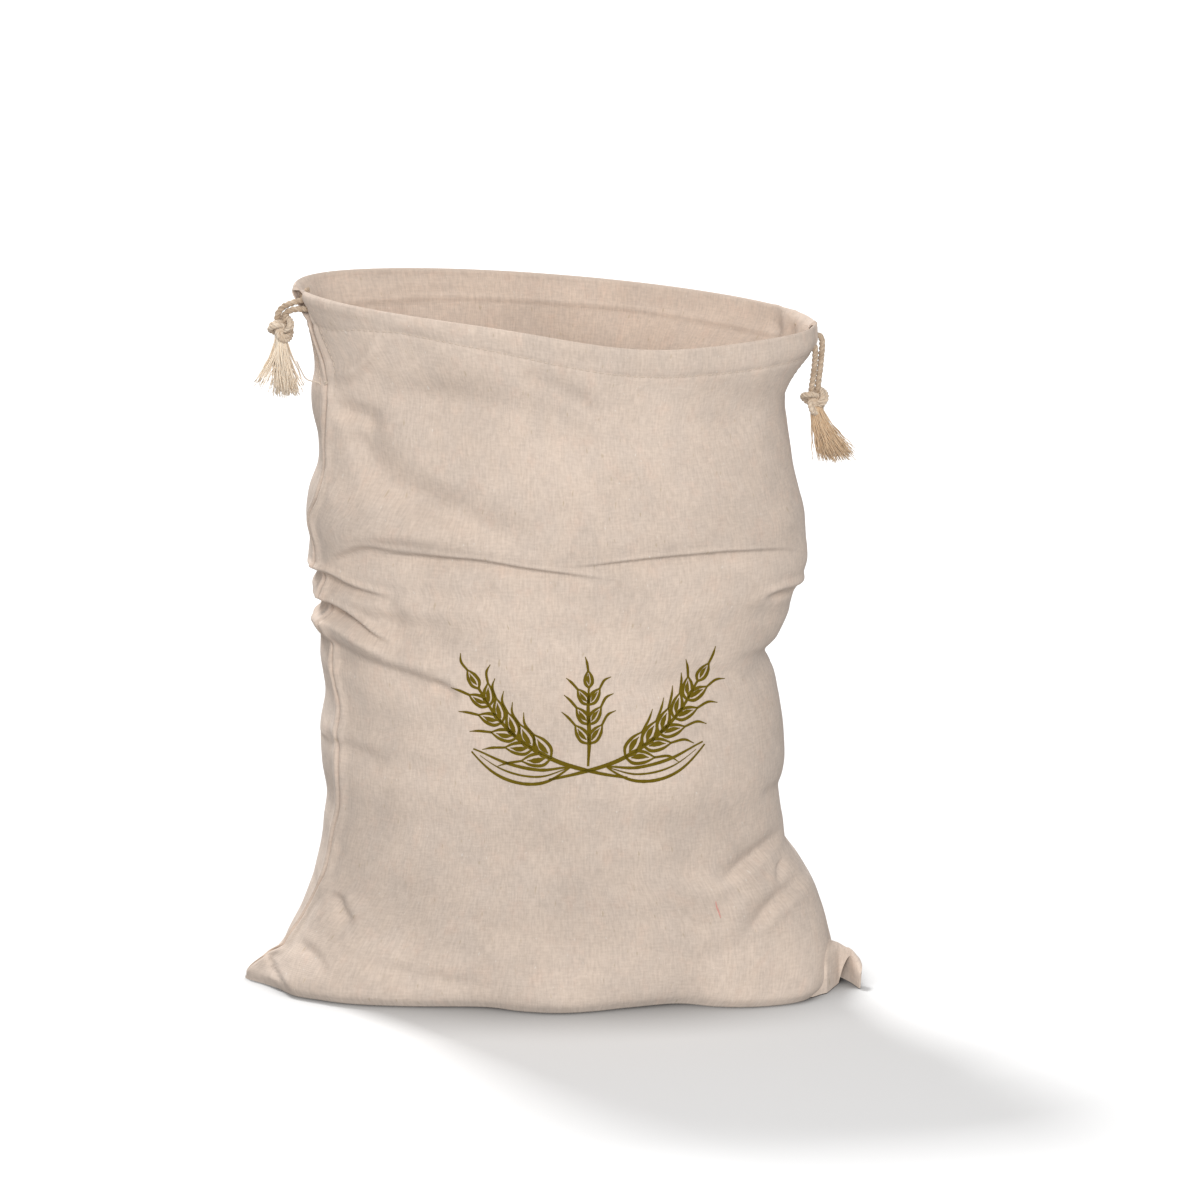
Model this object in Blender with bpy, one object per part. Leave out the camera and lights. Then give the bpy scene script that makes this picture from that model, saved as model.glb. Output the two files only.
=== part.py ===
"""Linen drawstring bag, standing open on its own folded bottom.

Metres, +Z up, the front faces -Y, the floor is z = 0. One cloth is folded at the bottom and sewn up
both sides; its top is turned down as a hem with a slit at each side, and the two ends of a drawcord
leave each slit, share one knot and fray into a tassel.
"""

import math
from collections import namedtuple

import bmesh
import bpy
from mathutils import Vector

MM = 0.001
RING = 72            # points round a section
CROWD = 0.42         # how far those points crowd towards the side seams
WALL = 1.8           # cloth, mm
HEM_WALL = 2.6       # cloth turned over at the top
HEM_DEPTH = 15.0
RIM_H = 340.0        # middle of the rim
RIM_TILT = 10.0      # the left end of the rim is this much higher, the right end this much lower
TILT_FROM = 230.0    # height where that slant starts
SAG = 7.0            # dip of the front lip
SAG_X, SAG_WIDE = 50.0, 58.0
SEAM_RIDGE = 2.0     # side seams stand out
PUFF = 2.3           # extra thickness of the hem where a cord lies in it
PUFF_ARC = 21.0
CORD_R = 1.5
CORD_DROP = 6.9      # below the rim, and how much lower the front end leaves than the back one
CORD_STEP = 1.9
STEP = 1.3           # length of one piece of a cord's mesh
BORE_STEPS = 14      # how many of them lie in the hem
LOBES, LAY = 3, 7.5  # strands in a cord, and the length of one turn
GAP = 0.3
TASSEL_SIDE = 6      # strands across a tassel, so 36 in it
SLIT_WIDE, SLIT_END = 7.4, 1.4

Section = namedtuple("Section", "h left right front back tip turn_l turn_r")
SECTIONS = tuple(Section(*row) for row in (
    # h    left   right  front back  tip   seam turned, degrees: left to the front, right to the back
    (0,   130.5, 132.0, 55.0, 54.0, 0.80, 2, 2),
    (5,   134.0, 135.5, 60.0, 58.0, 0.80, 3, 3),
    (14,  133.0, 135.5, 62.5, 61.0, 0.83, 5, 6),
    (22,  130.5, 134.3, 63.5, 62.0, 0.87, 7, 9),
    (34,  124.5, 132.2, 64.5, 63.5, 0.90, 10, 12),
    (46,  120.0, 128.3, 66.5, 65.0, 0.93, 13, 14),
    (58,  116.0, 121.5, 69.5, 67.0, 0.95, 17, 15),
    (69,  113.6, 113.4, 72.0, 69.0, 0.97, 18, 15),
    (80,  111.8, 112.3, 73.5, 71.0, 0.97, 19, 15),
    (95,  109.8, 109.6, 75.0, 72.0, 0.97, 22, 15),
    (112, 112.4, 112.7, 76.0, 73.0, 0.97, 24, 15),
    (128, 113.2, 111.8, 75.5, 73.0, 0.98, 23, 15),
    (145, 110.8, 109.2, 74.0, 72.5, 0.98, 22, 15),
    (156, 112.2, 107.0, 72.5, 72.0, 0.98, 20, 15),
    (167, 114.6, 102.3, 70.5, 71.0, 0.98, 18, 15),
    (176, 115.6, 110.0, 69.0, 70.0, 0.98, 18, 15),
    (186, 115.7, 114.6, 67.5, 69.0, 0.98, 18, 15),
    (192, 112.0, 116.2, 66.5, 68.0, 0.98, 17, 15),
    (200, 117.5, 120.4, 65.5, 67.0, 0.99, 17, 15),
    (207, 114.8, 122.6, 64.0, 66.0, 1.00, 16, 15),
    (213, 118.8, 124.0, 63.5, 65.0, 1.00, 16, 14),
    (224, 118.3, 123.4, 63.5, 64.5, 1.00, 15, 14),
    (236, 119.8, 122.4, 66.0, 63.5, 1.00, 14, 13),
    (248, 118.6, 119.6, 66.0, 62.5, 1.00, 14, 12),
    (260, 114.2, 117.0, 64.5, 61.5, 1.00, 14, 12),
    (272, 114.2, 115.0, 62.5, 60.5, 1.00, 14, 11),
    (284, 117.4, 113.2, 60.5, 60.0, 1.00, 14, 10),
    (293, 117.6, 112.0, 59.5, 59.5, 1.00, 14, 9),
    (301, 116.0, 112.6, 58.5, 59.0, 1.00, 13, 8),
    (309, 116.4, 115.6, 58.0, 58.5, 1.00, 12, 6),
    (317, 118.0, 119.6, 57.5, 58.0, 1.00, 11, 4),
    (325, 120.4, 124.4, 57.0, 57.5, 1.00, 10, 2),
    (333, 123.2, 127.4, 57.2, 57.5, 1.00, 9, 1),
    (340, 125.6, 128.3, 57.5, 58.0, 1.00, 8, 0),
))

# How many mesh rows lie between two heights.
BANDS = ((0, 24, 5), (24, 84, 5), (84, 160, 4), (160, 206, 5), (206, 240, 6), (240, 298, 3),
         (298, 324.2, 2), (324.2, 325.6, 1), (325.6, 340, 2))

# Corners of the folded bottom that poke out on the floor: seam angle, mm, and how round the top edge is.
Ear = namedtuple("Ear", "seam reach height spread flat power")
EARS = (Ear(0.0, 20.5, 20.0, 0.125, 0.55, 1.0), Ear(math.pi, 16.5, 19.5, 0.150, 0.35, 0.55))

# Creases, mm: three points seen from that side, how deep, how wide, and the roll that stands above.
Fold = namedtuple("Fold", "side x0 z0 x1 z1 x2 z2 depth width lip")
FOLDS = tuple(Fold(*row) for row in (
    ("front", -104, 222, -58, 228, -8, 222, 3.4, 5.0, 2.4),     # shelf, left part
    ("front", -12, 222, 6, 220, 32, 216, 2.6, 4.0, 1.4),        # its tail
    ("front", 14, 224, 58, 228, 114, 221, 3.6, 5.0, 2.6),       # shelf, right part
    ("front", -117, 210, -106, 211, -88, 207, 3.4, 4.0, 2.0),   # rolls at the left side
    ("front", -114, 195, -103, 194, -84, 184, 3.8, 4.5, 2.2),
    ("front", -114, 181, -99, 180, -76, 172, 3.2, 4.5, 1.6),
    ("front", -76, 172, -60, 169, -42, 166, 1.8, 5.0, 0.8),
    ("front", 104, 168, 92, 176, 76, 180, 3.0, 6.0, 1.2),       # dent at the right side
    ("front", 113, 84, 96, 67, 80, 60, 3.2, 5.0, 1.4),          # creases above the right corner
    ("front", 116, 70, 112, 62, 110, 54, 2.2, 4.0, 1.0),
    ("front", 126, 56, 110, 46, 94, 34, 3.0, 5.0, 1.2),
    ("front", -108, 52, -103, 44, -96, 36, 3.0, 5.5, 0.8),      # dimple above the left corner
    ("front", -112, 62, -121, 46, -130, 26, 1.8, 4.0, 1.0),
    ("front", -14, 318, 4, 308, 26, 294, 1.2, 7.0, 0.8),
    ("front", -104, 300, -97, 284, -92, 262, 2.0, 11.0, 0.6),
    ("front", -132, 14, -127, 9, -120, 1, 2.6, 3.0, 0.6),       # fold at the root of the left corner
    ("back", -110, 214, -40, 222, 60, 212, 3.2, 6.0, 2.0),
    ("back", -108, 186, -76, 178, -48, 166, 2.6, 6.0, 1.4),
    ("back", 108, 176, 82, 168, 52, 158, 2.4, 6.0, 1.2),
    ("back", 108, 62, 82, 50, 60, 36, 2.4, 6.0, 1.0),
    ("back", 112, 338, 109, 326, 108, 312, 3.4, 3.4, 0.8),      # pleats of the hem at the right back
    ("back", 121, 336, 117, 326, 114, 314, 2.8, 2.6, 0.6),
))

# Soft swellings of the filled cloth, mm.
Lump = namedtuple("Lump", "side x z radius height")
LUMPS = tuple(Lump(*row) for row in (
    ("front", -48, 282, 38, 2.2), ("front", 46, 276, 42, 2.0), ("front", -4, 246, 36, 1.6),
    ("front", 84, 250, 30, 1.8), ("front", -84, 246, 26, 1.6), ("front", -62, 132, 40, 1.8),
    ("front", 60, 118, 44, 1.6), ("front", 4, 74, 46, 1.4), ("front", 92, 148, 26, 1.8),
    ("front", -92, 92, 28, 1.6), ("front", 40, 190, 34, 1.2), ("front", -40, 196, 30, 1.2),
    ("back", -44, 268, 44, 2.4), ("back", 52, 262, 42, 2.0), ("back", 0, 130, 52, 2.2),
    ("back", 74, 96, 34, 1.8), ("back", -76, 110, 34, 1.8),
))

# Cords at each side, mm: slit height, hang point of the knot, its radii, then the tassel.
Tie = namedtuple("Tie", "name seam slit_h knot knot_r lean spread length")
TIES = (
    Tie("left", 0.0, 299.0, (-132.2, -9.5, 330.6), (6.3, 5.6, 6.1), (-2.0, -1.0), (11.0, 7.0), 27.0),
    Tie("right", math.pi, 301.0, (127.4, 0.0, 291.5), (6.6, 5.8, 5.4), (8.5, -1.0), (7.5, 5.5), 25.0),
)


def clamp(value, low=0.0, high=1.0):
    return max(low, min(high, value))


def smooth(value):
    value = clamp(value)
    return value * value * (3.0 - 2.0 * value)


def bell(value):
    return math.exp(-value * value)


def section(h):
    """The section at height h, through the table's rows without corners."""
    rows = SECTIONS
    k = 0
    while k < len(rows) - 2 and rows[k + 1].h <= h:
        k += 1
    a, b = rows[k], rows[k + 1]
    before, after = rows[max(k - 1, 0)], rows[min(k + 2, len(rows) - 1)]
    span = b.h - a.h
    t = clamp((h - a.h) / span)
    made = []
    for i in range(1, len(a)):
        m0 = (b[i] - before[i]) / (b.h - before.h) * span
        m1 = (after[i] - a[i]) / (after.h - a.h) * span
        made.append((2 * t**3 - 3 * t**2 + 1) * a[i] + (t**3 - 2 * t**2 + t) * m0
                    + (3 * t**2 - 2 * t**3) * b[i] + (t**3 - t**2) * m1)
    return Section(h, *made)


def ring_angle(k, count=RING):
    """Angle of point k: 0 is the left seam, a quarter turn the front, half a turn the right seam."""
    u = k / count
    return 2 * math.pi * u - CROWD / 2 * math.sin(4 * math.pi * u)


def seam_offset(phi, seam):
    return (phi - seam + math.pi) % (2 * math.pi) - math.pi


def in_hem(h):
    return clamp((h - (RIM_H - HEM_DEPTH)) / 0.6)


def puff(phi, h):
    """0 to 1 where the hem holds a cord."""
    near = min(abs(seam_offset(phi, 0.0)), abs(seam_offset(phi, math.pi))) * 57.0
    across = clamp((h - (RIM_H - HEM_DEPTH)) / HEM_DEPTH)
    return smooth((PUFF_ARC + 9.0 - near) / 9.0) * math.sin(math.pi * across) ** 0.6 if across > 0 else 0.0


def wall(phi, h):
    return WALL + (HEM_WALL - WALL) * in_hem(h) + PUFF * puff(phi, h)


def crease(fold, x, z):
    """Signed push of one fold at a point seen from its side."""
    best = None
    for x0, z0, x1, z1, part in ((fold.x0, fold.z0, fold.x1, fold.z1, 0.0),
                                 (fold.x1, fold.z1, fold.x2, fold.z2, 0.5)):
        dx, dz = x1 - x0, z1 - z0
        length = math.hypot(dx, dz)
        t = clamp(((x - x0) * dx + (z - z0) * dz) / length**2)
        away = math.hypot(x - x0 - t * dx, z - z0 - t * dz)
        above = (z - z0) * dx - (x - x0) * dz
        if dx < 0:
            above = -above
        if best is None or away < best[0]:
            best = (away, math.copysign(away, above), part + t / 2)
    _, over, along = best
    if best[0] > 4.0 * fold.width:
        return 0.0
    fade = math.sin(math.pi * clamp(0.06 + 0.88 * along)) ** 0.7
    return fade * (fold.lip * bell((over - 1.7 * fold.width) / fold.width)
                   - fold.depth * bell(over / fold.width))


def push(side, x, z):
    """All folds and swellings at a point of that side."""
    made = sum(crease(fold, x, z) for fold in FOLDS if fold.side == side)
    made += sum(lump.height * bell(math.hypot(x - lump.x, z - lump.z) / lump.radius)
                for lump in LUMPS if lump.side == side)
    return made


def skin(phi, h, inset=0.0, outer=True):
    """A point of the cloth in mm, inset from its outer face; the inner face has no ears and no ridge."""
    s = section(h)
    c = math.cos(phi)
    ang = phi + math.radians(s.turn_l * max(c, 0.0) ** 3 + s.turn_r * max(-c, 0.0) ** 3)
    ca, sa = math.cos(ang), math.sin(ang)
    a = (s.left if ca > 0 else s.right) - inset
    b = (s.front if sa > 0 else s.back) - inset
    x, y = -a * ca, -math.copysign(b * abs(sa) ** s.tip, sa)
    nx, ny = x / a**2, y / b**2
    size = math.hypot(nx, ny)
    nx, ny = nx / size, ny / size
    tilt = RIM_TILT * smooth((h - TILT_FROM) / (RIM_H - TILT_FROM))
    z = h - x / 126.0 * tilt
    if sa > 0:
        z -= SAG * bell((x - SAG_X) / SAG_WIDE) * sa * smooth((h - TILT_FROM) / (RIM_H - TILT_FROM))
    side, other = ("front", "back") if sa > 0 else ("back", "front")
    mix = smooth(abs(sa) / 0.22) * 0.5 + 0.5
    out = (mix * push(side, x, z) + (1 - mix) * push(other, x, z)) * smooth((h + 2.0) / 9.0)
    if outer:
        ridge = max(bell(seam_offset(phi, 0.0) / 0.03), bell(seam_offset(phi, math.pi) / 0.03))
        out += SEAM_RIDGE * ridge * smooth(h / 8.0) + 0.25 * PUFF * puff(phi, h)
        for ear in EARS:
            near = bell(seam_offset(phi, ear.seam) / ear.spread)
            rise = clamp(1.0 - (h / ear.height) ** (1.0 / ear.power)) ** ear.power
            x += math.copysign(ear.reach * rise * near, x) if near > 1e-3 else 0.0
            y *= 1.0 - ear.flat * near * smooth(rise * 1.5)
    return Vector((x + nx * out, y + ny * out, z))


def rows():
    made = [0.0]
    for low, high, count in BANDS:
        made += [low + (high - low) * (k + 1) / count for k in range(count)]
    return made


def new_mesh(name, points, faces, home, material=None):
    mesh = bpy.data.meshes.new(name)
    mesh.from_pydata([Vector(p) * MM for p in points], [], faces)
    mesh.update()
    bm = bmesh.new()
    bm.from_mesh(mesh)
    bmesh.ops.recalc_face_normals(bm, faces=bm.faces)
    bm.to_mesh(mesh)
    bm.free()
    obj = bpy.data.objects.new(name, mesh)
    home.objects.link(obj)
    if material:
        mesh.materials.append(material)
    return obj


def bag(home, material):
    """The cloth: outer face, inner face, rim and the two faces of the floor."""
    heights = rows()
    points, faces = [], []
    top = len(heights) - 1

    def layer(row_points):
        points.extend(row_points)
        return len(points) - len(row_points)

    starts = [layer([skin(ring_angle(k), h) for k in range(RING)]) for h in heights]
    lip = [skin(ring_angle(k), RIM_H, wall(ring_angle(k), RIM_H) / 2) + Vector((0, 0, 0.7)) for k in range(RING)]
    starts.append(layer(lip))
    for k in range(top, -1, -1):
        h = max(heights[k], WALL)
        starts.append(layer([skin(ring_angle(j), h, wall(ring_angle(j), h), outer=False) for j in range(RING)]))
    for low, high in zip(starts, starts[1:]):
        faces += [(low + k, low + (k + 1) % RING, high + (k + 1) % RING, high + k) for k in range(RING)]
    for start in (starts[0], starts[-1]):
        for k in range(RING // 2):
            corners = (start + k, start + k + 1, start + (RING - k - 1) % RING, start + (RING - k) % RING)
            faces.append(tuple(dict.fromkeys(corners)))
    return new_mesh("bag_body", points, faces, home, material)


def slit_cutter(tie, home):
    """A wedge through the cloth at a side seam, from the slit's foot up past the rim."""
    points, faces = [], []
    steps = 8
    for k in range(steps + 1):
        t = k / steps
        h = tie.slit_h + (RIM_H - tie.slit_h) * t
        wide = SLIT_END + (SLIT_WIDE - SLIT_END) * t**0.8
        mid = skin(tie.seam, h)
        along = (skin(tie.seam + 0.05, h, 0, False) - skin(tie.seam - 0.05, h, 0, False)).normalized()
        along.z = 0.0
        out = Vector((along.y, -along.x, 0.0))
        if out.dot(Vector((mid.x, mid.y, 0))) < 0:
            out = -out
        if k == steps:
            mid.z += 8.0
        points += [mid + out * 7 - along * wide / 2, mid + out * 7 + along * wide / 2,
                   mid - out * 14 + along * wide / 2, mid - out * 14 - along * wide / 2]
    for k in range(steps):
        low, high = 4 * k, 4 * k + 4
        faces += [(low + i, low + (i + 1) % 4, high + (i + 1) % 4, high + i) for i in range(4)]
    faces += [(3, 2, 1, 0), tuple(4 * steps + i for i in range(4))]
    return new_mesh(f"cut_slit_{tie.name}", points, faces, home)


def curve_through(points, step):
    """Even steps along a smooth line through the points."""
    points = [Vector(p) for p in points]
    ends = [2 * points[0] - points[1]] + points + [2 * points[-1] - points[-2]]
    dense = []
    for a, b, c, d in zip(ends, ends[1:], ends[2:], ends[3:]):
        for k in range(24):
            t = k / 24
            dense.append(0.5 * (2 * b + (c - a) * t + (2 * a - 5 * b + 4 * c - d) * t * t
                                + (3 * b - a - 3 * c + d) * t**3))
    dense.append(points[-1])
    runs = [0.0]
    for p, q in zip(dense, dense[1:]):
        runs.append(runs[-1] + (q - p).length)
    count = max(3, round(runs[-1] / step))
    made, at = [], 0
    for k in range(count + 1):
        goal = runs[-1] * k / count
        while at < len(runs) - 2 and runs[at + 1] < goal:
            at += 1
        part = (goal - runs[at]) / max(runs[at + 1] - runs[at], 1e-9)
        made.append(dense[at].lerp(dense[at + 1], clamp(part)))
    return made


def tube(name, path, radius, home, material=None, sides=9, lobes=0, lay=LAY):
    """A round or stranded cord along the path, its frame carried along without twisting."""
    points, faces = [], []
    axis = (path[1] - path[0]).normalized()
    side = axis.orthogonal().normalized()
    run = 0.0
    for k, p in enumerate(path):
        ahead = (path[min(k + 1, len(path) - 1)] - path[max(k - 1, 0)]).normalized()
        side = (side - ahead * side.dot(ahead)).normalized()
        up = ahead.cross(side)
        if k:
            run += (p - path[k - 1]).length
        for j in range(sides):
            angle = 2 * math.pi * j / sides + 2 * math.pi * run / lay * (1 if lobes else 0)
            size = radius * (1.0 if not lobes else 0.9 + 0.1 * math.cos(lobes * 2 * math.pi * j / sides))
            points.append(p + (side * math.cos(angle) + up * math.sin(angle)) * size)
    for k in range(len(path) - 1):
        low, high = k * sides, (k + 1) * sides
        faces += [(low + j, low + (j + 1) % sides, high + (j + 1) % sides, high + j) for j in range(sides)]
    faces += [tuple(range(sides - 1, -1, -1)), tuple(len(points) - sides + j for j in range(sides))]
    return new_mesh(name, points, faces, home, material)


def in_casing(tie, way, arc, drop):
    """A point midway through the hem, that far round from the slit and that far below the rim."""
    phi = tie.seam + way * arc / 57.0 * (1 if tie.seam == 0.0 else -1)
    h = RIM_H - drop
    return skin(phi, h, wall(phi, h) / 2 - 0.125 * PUFF * puff(phi, h), outer=False)


def strand(tie, way):
    """From inside the hem out of the slit and down into the knot; way is 1 in front and -1 behind."""
    sign = -1 if tie.seam == 0.0 else 1
    knot = Vector(tie.knot)
    drop = CORD_DROP + way * CORD_STEP
    inside = [in_casing(tie, way, arc, drop) for arc in (18.5, 12.0, 6.5)]
    mouth = in_casing(tie, way, 1.6, drop + 0.3)
    lip = skin(tie.seam, RIM_H - drop - 1.6)
    clear = Vector((lip.x + sign * (1.7 - way * 1.1), lip.y * 0.7 + knot.y * 0.3, lip.z + 0.4))
    top = knot + Vector((-way * sign * 1.75, -way * 0.5, tie.knot_r[2]))
    half = clear.lerp(top, 0.5) + Vector((sign * (0.5 - way * 0.5), 0, 0.4))
    end = top + Vector((0.0, 0.0, -3.4))
    return curve_through(inside + [mouth, clear, half, top + Vector((0, 0, 0.6)), end], STEP)


def knot(tie, home, material):
    """An overhand knot as a lump with the turns of the cord wound slantwise over it."""
    points, faces = [], []
    around, down = 24, 12
    rx, ry, rz = tie.knot_r
    centre = Vector(tie.knot)
    points.append(centre + Vector((0, 0, rz)))
    for i in range(1, down):
        theta = math.pi * i / down
        for j in range(around):
            phi = 2 * math.pi * j / around
            turns = math.cos(3 * phi + 4.2 * (theta - math.pi / 2) + tie.seam)
            size = 0.93 + 0.11 * turns * math.sin(theta) ** 0.8
            points.append(centre + Vector((rx * math.sin(theta) * math.cos(phi), ry * math.sin(theta)
                                           * math.sin(phi), rz * math.cos(theta))) * size)
    points.append(centre - Vector((0, 0, rz)))
    last = len(points) - 1
    for j in range(around):
        faces.append((0, 1 + j, 1 + (j + 1) % around))
        faces.append((last, last - around + (j + 1) % around, last - around + j))
        for i in range(down - 2):
            low, high = 1 + i * around, 1 + (i + 1) * around
            faces.append((low + j, high + j, high + (j + 1) % around, low + (j + 1) % around))
    return new_mesh(f"knot_{tie.name}", points, faces, home, material)


def head_of(tie):
    """Middle of the tassel's head, under the knot, and its radii."""
    lean = Vector((tie.lean[0], tie.lean[1], 0.0)) * 0.08
    return Vector(tie.knot) + Vector((0, 0, -tie.knot_r[2] + 0.4)) + lean, 3.6, 3.2


def jitter(i, j, k):
    return math.sin(12.9898 * i + 78.233 * j + 37.719 * k + 1.3)


def tassel(tie, home, material):
    """Frayed ends: a small head whose underside is drawn out into separate four-sided strands."""
    centre, rx, ry = head_of(tie)
    n = TASSEL_SIDE
    points, faces = [], []

    def disc(u, v, z):
        return centre + Vector((rx * u * math.sqrt(1 - v * v / 2), ry * v * math.sqrt(1 - u * u / 2), z))

    index = {}
    for i in range(n + 1):
        for j in range(n + 1):
            index[i, j] = len(points)
            points.append(disc(2 * i / n - 1, 2 * j / n - 1, -2.2))
    edge = ([(i, 0) for i in range(n)] + [(n, j) for j in range(n)]
            + [(n - i, n) for i in range(n)] + [(0, n - j) for j in range(n)])
    rings = [[index[key] for key in edge]]
    for size, z in ((1.06, -0.4), (0.78, 1.5)):
        start = len(points)
        for key in edge:
            p = points[index[key]] - centre
            points.append(centre + Vector((p.x * size, p.y * size, z)))
        rings.append(list(range(start, start + len(edge))))
    for low, high in zip(rings, rings[1:]):
        faces += [(low[k], low[(k + 1) % len(low)], high[(k + 1) % len(low)], high[k]) for k in range(len(low))]
    points.append(centre + Vector((0, 0, 2.2)))
    faces += [(rings[-1][k], rings[-1][(k + 1) % len(edge)], len(points) - 1) for k in range(len(edge))]
    for i in range(n):
        for j in range(n):
            base = [index[i, j], index[i + 1, j], index[i + 1, j + 1], index[i, j + 1]]
            mid = sum((points[k] for k in base), Vector()) / 4
            u, v = (mid.x - centre.x) / rx, (mid.y - centre.y) / ry
            long = tie.length * (0.86 + 0.10 * jitter(i, j, 1))
            goal = Vector((tie.lean[0] + tie.spread[0] * u + 0.6 * jitter(i, j, 2),
                           tie.lean[1] + tie.spread[1] * v + 0.4 * jitter(i, j, 3), 0.0))
            last = base
            for part, size in ((0.0, 0.76), (0.45, 0.80), (1.0, 0.44)):
                deep = part * long / tie.length
                shift = goal * deep * (0.55 + 0.45 * deep) - Vector((0, 0, part * long + 0.35))
                start = len(points)
                points += [mid + (points[k] - mid) * size + shift for k in base]
                fresh = list(range(start, start + 4))
                faces += [(last[k], last[(k + 1) % 4], fresh[(k + 1) % 4], fresh[k]) for k in range(4)]
                last = fresh
            faces.append(tuple(last))
    return new_mesh(f"tassel_{tie.name}", points, faces, home, material)


def ball(name, centre, radii, home):
    bm = bmesh.new()
    bmesh.ops.create_uvsphere(bm, u_segments=16, v_segments=10, radius=1.0)
    for v in bm.verts:
        v.co = Vector((v.co.x * radii[0], v.co.y * radii[1], v.co.z * radii[2])) * MM + centre * MM
    mesh = bpy.data.meshes.new(name)
    bm.to_mesh(mesh)
    bm.free()
    obj = bpy.data.objects.new(name, mesh)
    home.objects.link(obj)
    return obj


def cut(target, cutter):
    step = target.modifiers.new(f"cut {cutter.name}", "BOOLEAN")
    step.operation, step.solver, step.object = "DIFFERENCE", "EXACT", cutter


def material(name, colour, rough):
    made = bpy.data.materials.new(name)
    made.use_nodes = True
    shader = made.node_tree.nodes["Principled BSDF"]
    shader.inputs["Base Color"].default_value = (*colour, 1.0)
    shader.inputs["Roughness"].default_value = rough
    made.diffuse_color = (*colour, 1.0)
    return made


def main():
    for obj in list(bpy.data.objects):
        bpy.data.objects.remove(obj)
    home = bpy.data.collections.new("linen_bread_bag")
    tools = bpy.data.collections.new("cutters")
    for collection in (home, tools):
        bpy.context.scene.collection.children.link(collection)
    tools.hide_render = True

    linen = material("linen", (0.63, 0.54, 0.46), 0.9)
    body = bag(home, linen)
    for tie in TIES:
        cut(body, slit_cutter(tie, tools))
        lump = knot(tie, home, material(f"knot_{tie.name}", (0.56, 0.44, 0.31), 0.9))
        for way, label in ((1, "front"), (-1, "back")):
            path = strand(tie, way)
            first = path[0] + (path[0] - path[1]).normalized() * 0.5
            cut(body, tube(f"cut_bore_{tie.name}_{label}", [first] + path[:BORE_STEPS], CORD_R + GAP, tools,
                           sides=10))
            cut(lump, tube(f"cut_socket_{tie.name}_{label}", path[-5:] + [path[-1] + Vector((0, 0, -0.4))],
                           CORD_R + GAP, tools, sides=10))
            tube(f"cord_{tie.name}_{label}", path, CORD_R, home,
                 material(f"cord_{tie.name}_{label}", (0.45, 0.33, 0.23), 0.9), sides=9, lobes=LOBES)
        centre, rx, ry = head_of(tie)
        cut(lump, ball(f"cut_head_{tie.name}", centre, (rx * 1.1 + GAP, ry * 1.1 + GAP, 2.9), tools))
        tassel(tie, home, material(f"tassel_{tie.name}", (0.66, 0.52, 0.38), 0.9))
    for obj in tools.objects:
        obj.hide_render = True
        obj.display_type = "WIRE"


main()
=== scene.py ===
"""An open linen drawstring bag that stands on its folded bottom, dressed over its fixed model.

Sizes in the classes and tables are millimetres; meshes are written in metres. +Z is up, the front
faces -Y and the floor is z = 0. The cloth is two panels of one folded sheet, sewn at both sides. Its
top is turned down as a casing with a slit at each side, where two cord ends come out into one knot
and fray.
"""

from __future__ import annotations

import logging
import math
import random
from dataclasses import dataclass, field
from enum import Enum
from typing import Iterable, Sequence

import bpy
import numpy as np
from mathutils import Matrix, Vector

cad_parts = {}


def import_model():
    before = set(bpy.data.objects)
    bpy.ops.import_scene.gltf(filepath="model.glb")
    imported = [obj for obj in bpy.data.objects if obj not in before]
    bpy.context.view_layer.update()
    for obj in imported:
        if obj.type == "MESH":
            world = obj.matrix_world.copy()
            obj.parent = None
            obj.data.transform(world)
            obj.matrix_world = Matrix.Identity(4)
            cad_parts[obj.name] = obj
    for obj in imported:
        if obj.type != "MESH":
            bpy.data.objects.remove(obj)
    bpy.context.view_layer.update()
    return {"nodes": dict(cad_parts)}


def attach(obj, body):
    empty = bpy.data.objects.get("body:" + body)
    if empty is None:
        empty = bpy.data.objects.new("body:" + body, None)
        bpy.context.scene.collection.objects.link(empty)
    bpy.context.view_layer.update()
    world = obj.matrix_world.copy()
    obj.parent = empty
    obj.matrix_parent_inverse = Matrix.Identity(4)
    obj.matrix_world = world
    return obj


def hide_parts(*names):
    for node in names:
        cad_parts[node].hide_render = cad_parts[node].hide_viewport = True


LOG = logging.getLogger("bread_bag")
MM = 0.001
PER_METRE = 1000.0
Array = np.ndarray
Face = tuple[int, ...]
Place = tuple[float, float, float]
Table = Sequence[tuple[float, float]]
Socket = bpy.types.NodeSocket


# ------------------------------------------------------------------ small helpers


def smooth(value: Array | float) -> Array:
    """Ease from 0 to 1 with flat ends."""
    value = np.clip(value, 0.0, 1.0)
    return value * value * (3.0 - 2.0 * value)


def bell(value: Array | float) -> Array:
    """A smooth bump of height 1 about zero."""
    return np.exp(-np.square(value))


def unit(vectors: Array) -> Array:
    """Vectors of length 1 in the same directions."""
    return vectors / np.maximum(np.linalg.norm(vectors, axis=-1, keepdims=True), 1e-9)


def turned_in(angle: Array) -> Array:
    """The same angle, between minus half a turn and half a turn."""
    return np.arctan2(np.sin(angle), np.cos(angle))


def read_off(table: Table, at: Array) -> Array:
    """The table's value at each place, straight between its rows."""
    return np.interp(at, *zip(*table))


def points_of(text: str) -> Array:
    """The points written as "a,b a,b", one a row."""
    return np.array([[float(v) for v in pair.split(",")] for pair in text.split()])


def run_along(line: Array) -> Array:
    """Distance from the start of a line at each of its points."""
    return np.concatenate([[0.0], np.cumsum(np.linalg.norm(np.diff(line, axis=0), axis=1))])


def left_of(line: Array) -> Array:
    """Direction square to a flat line, to its left, at each of its points."""
    along = unit(np.gradient(line, axis=0))
    return np.stack([-along[:, 1], along[:, 0]], axis=1)


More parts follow.
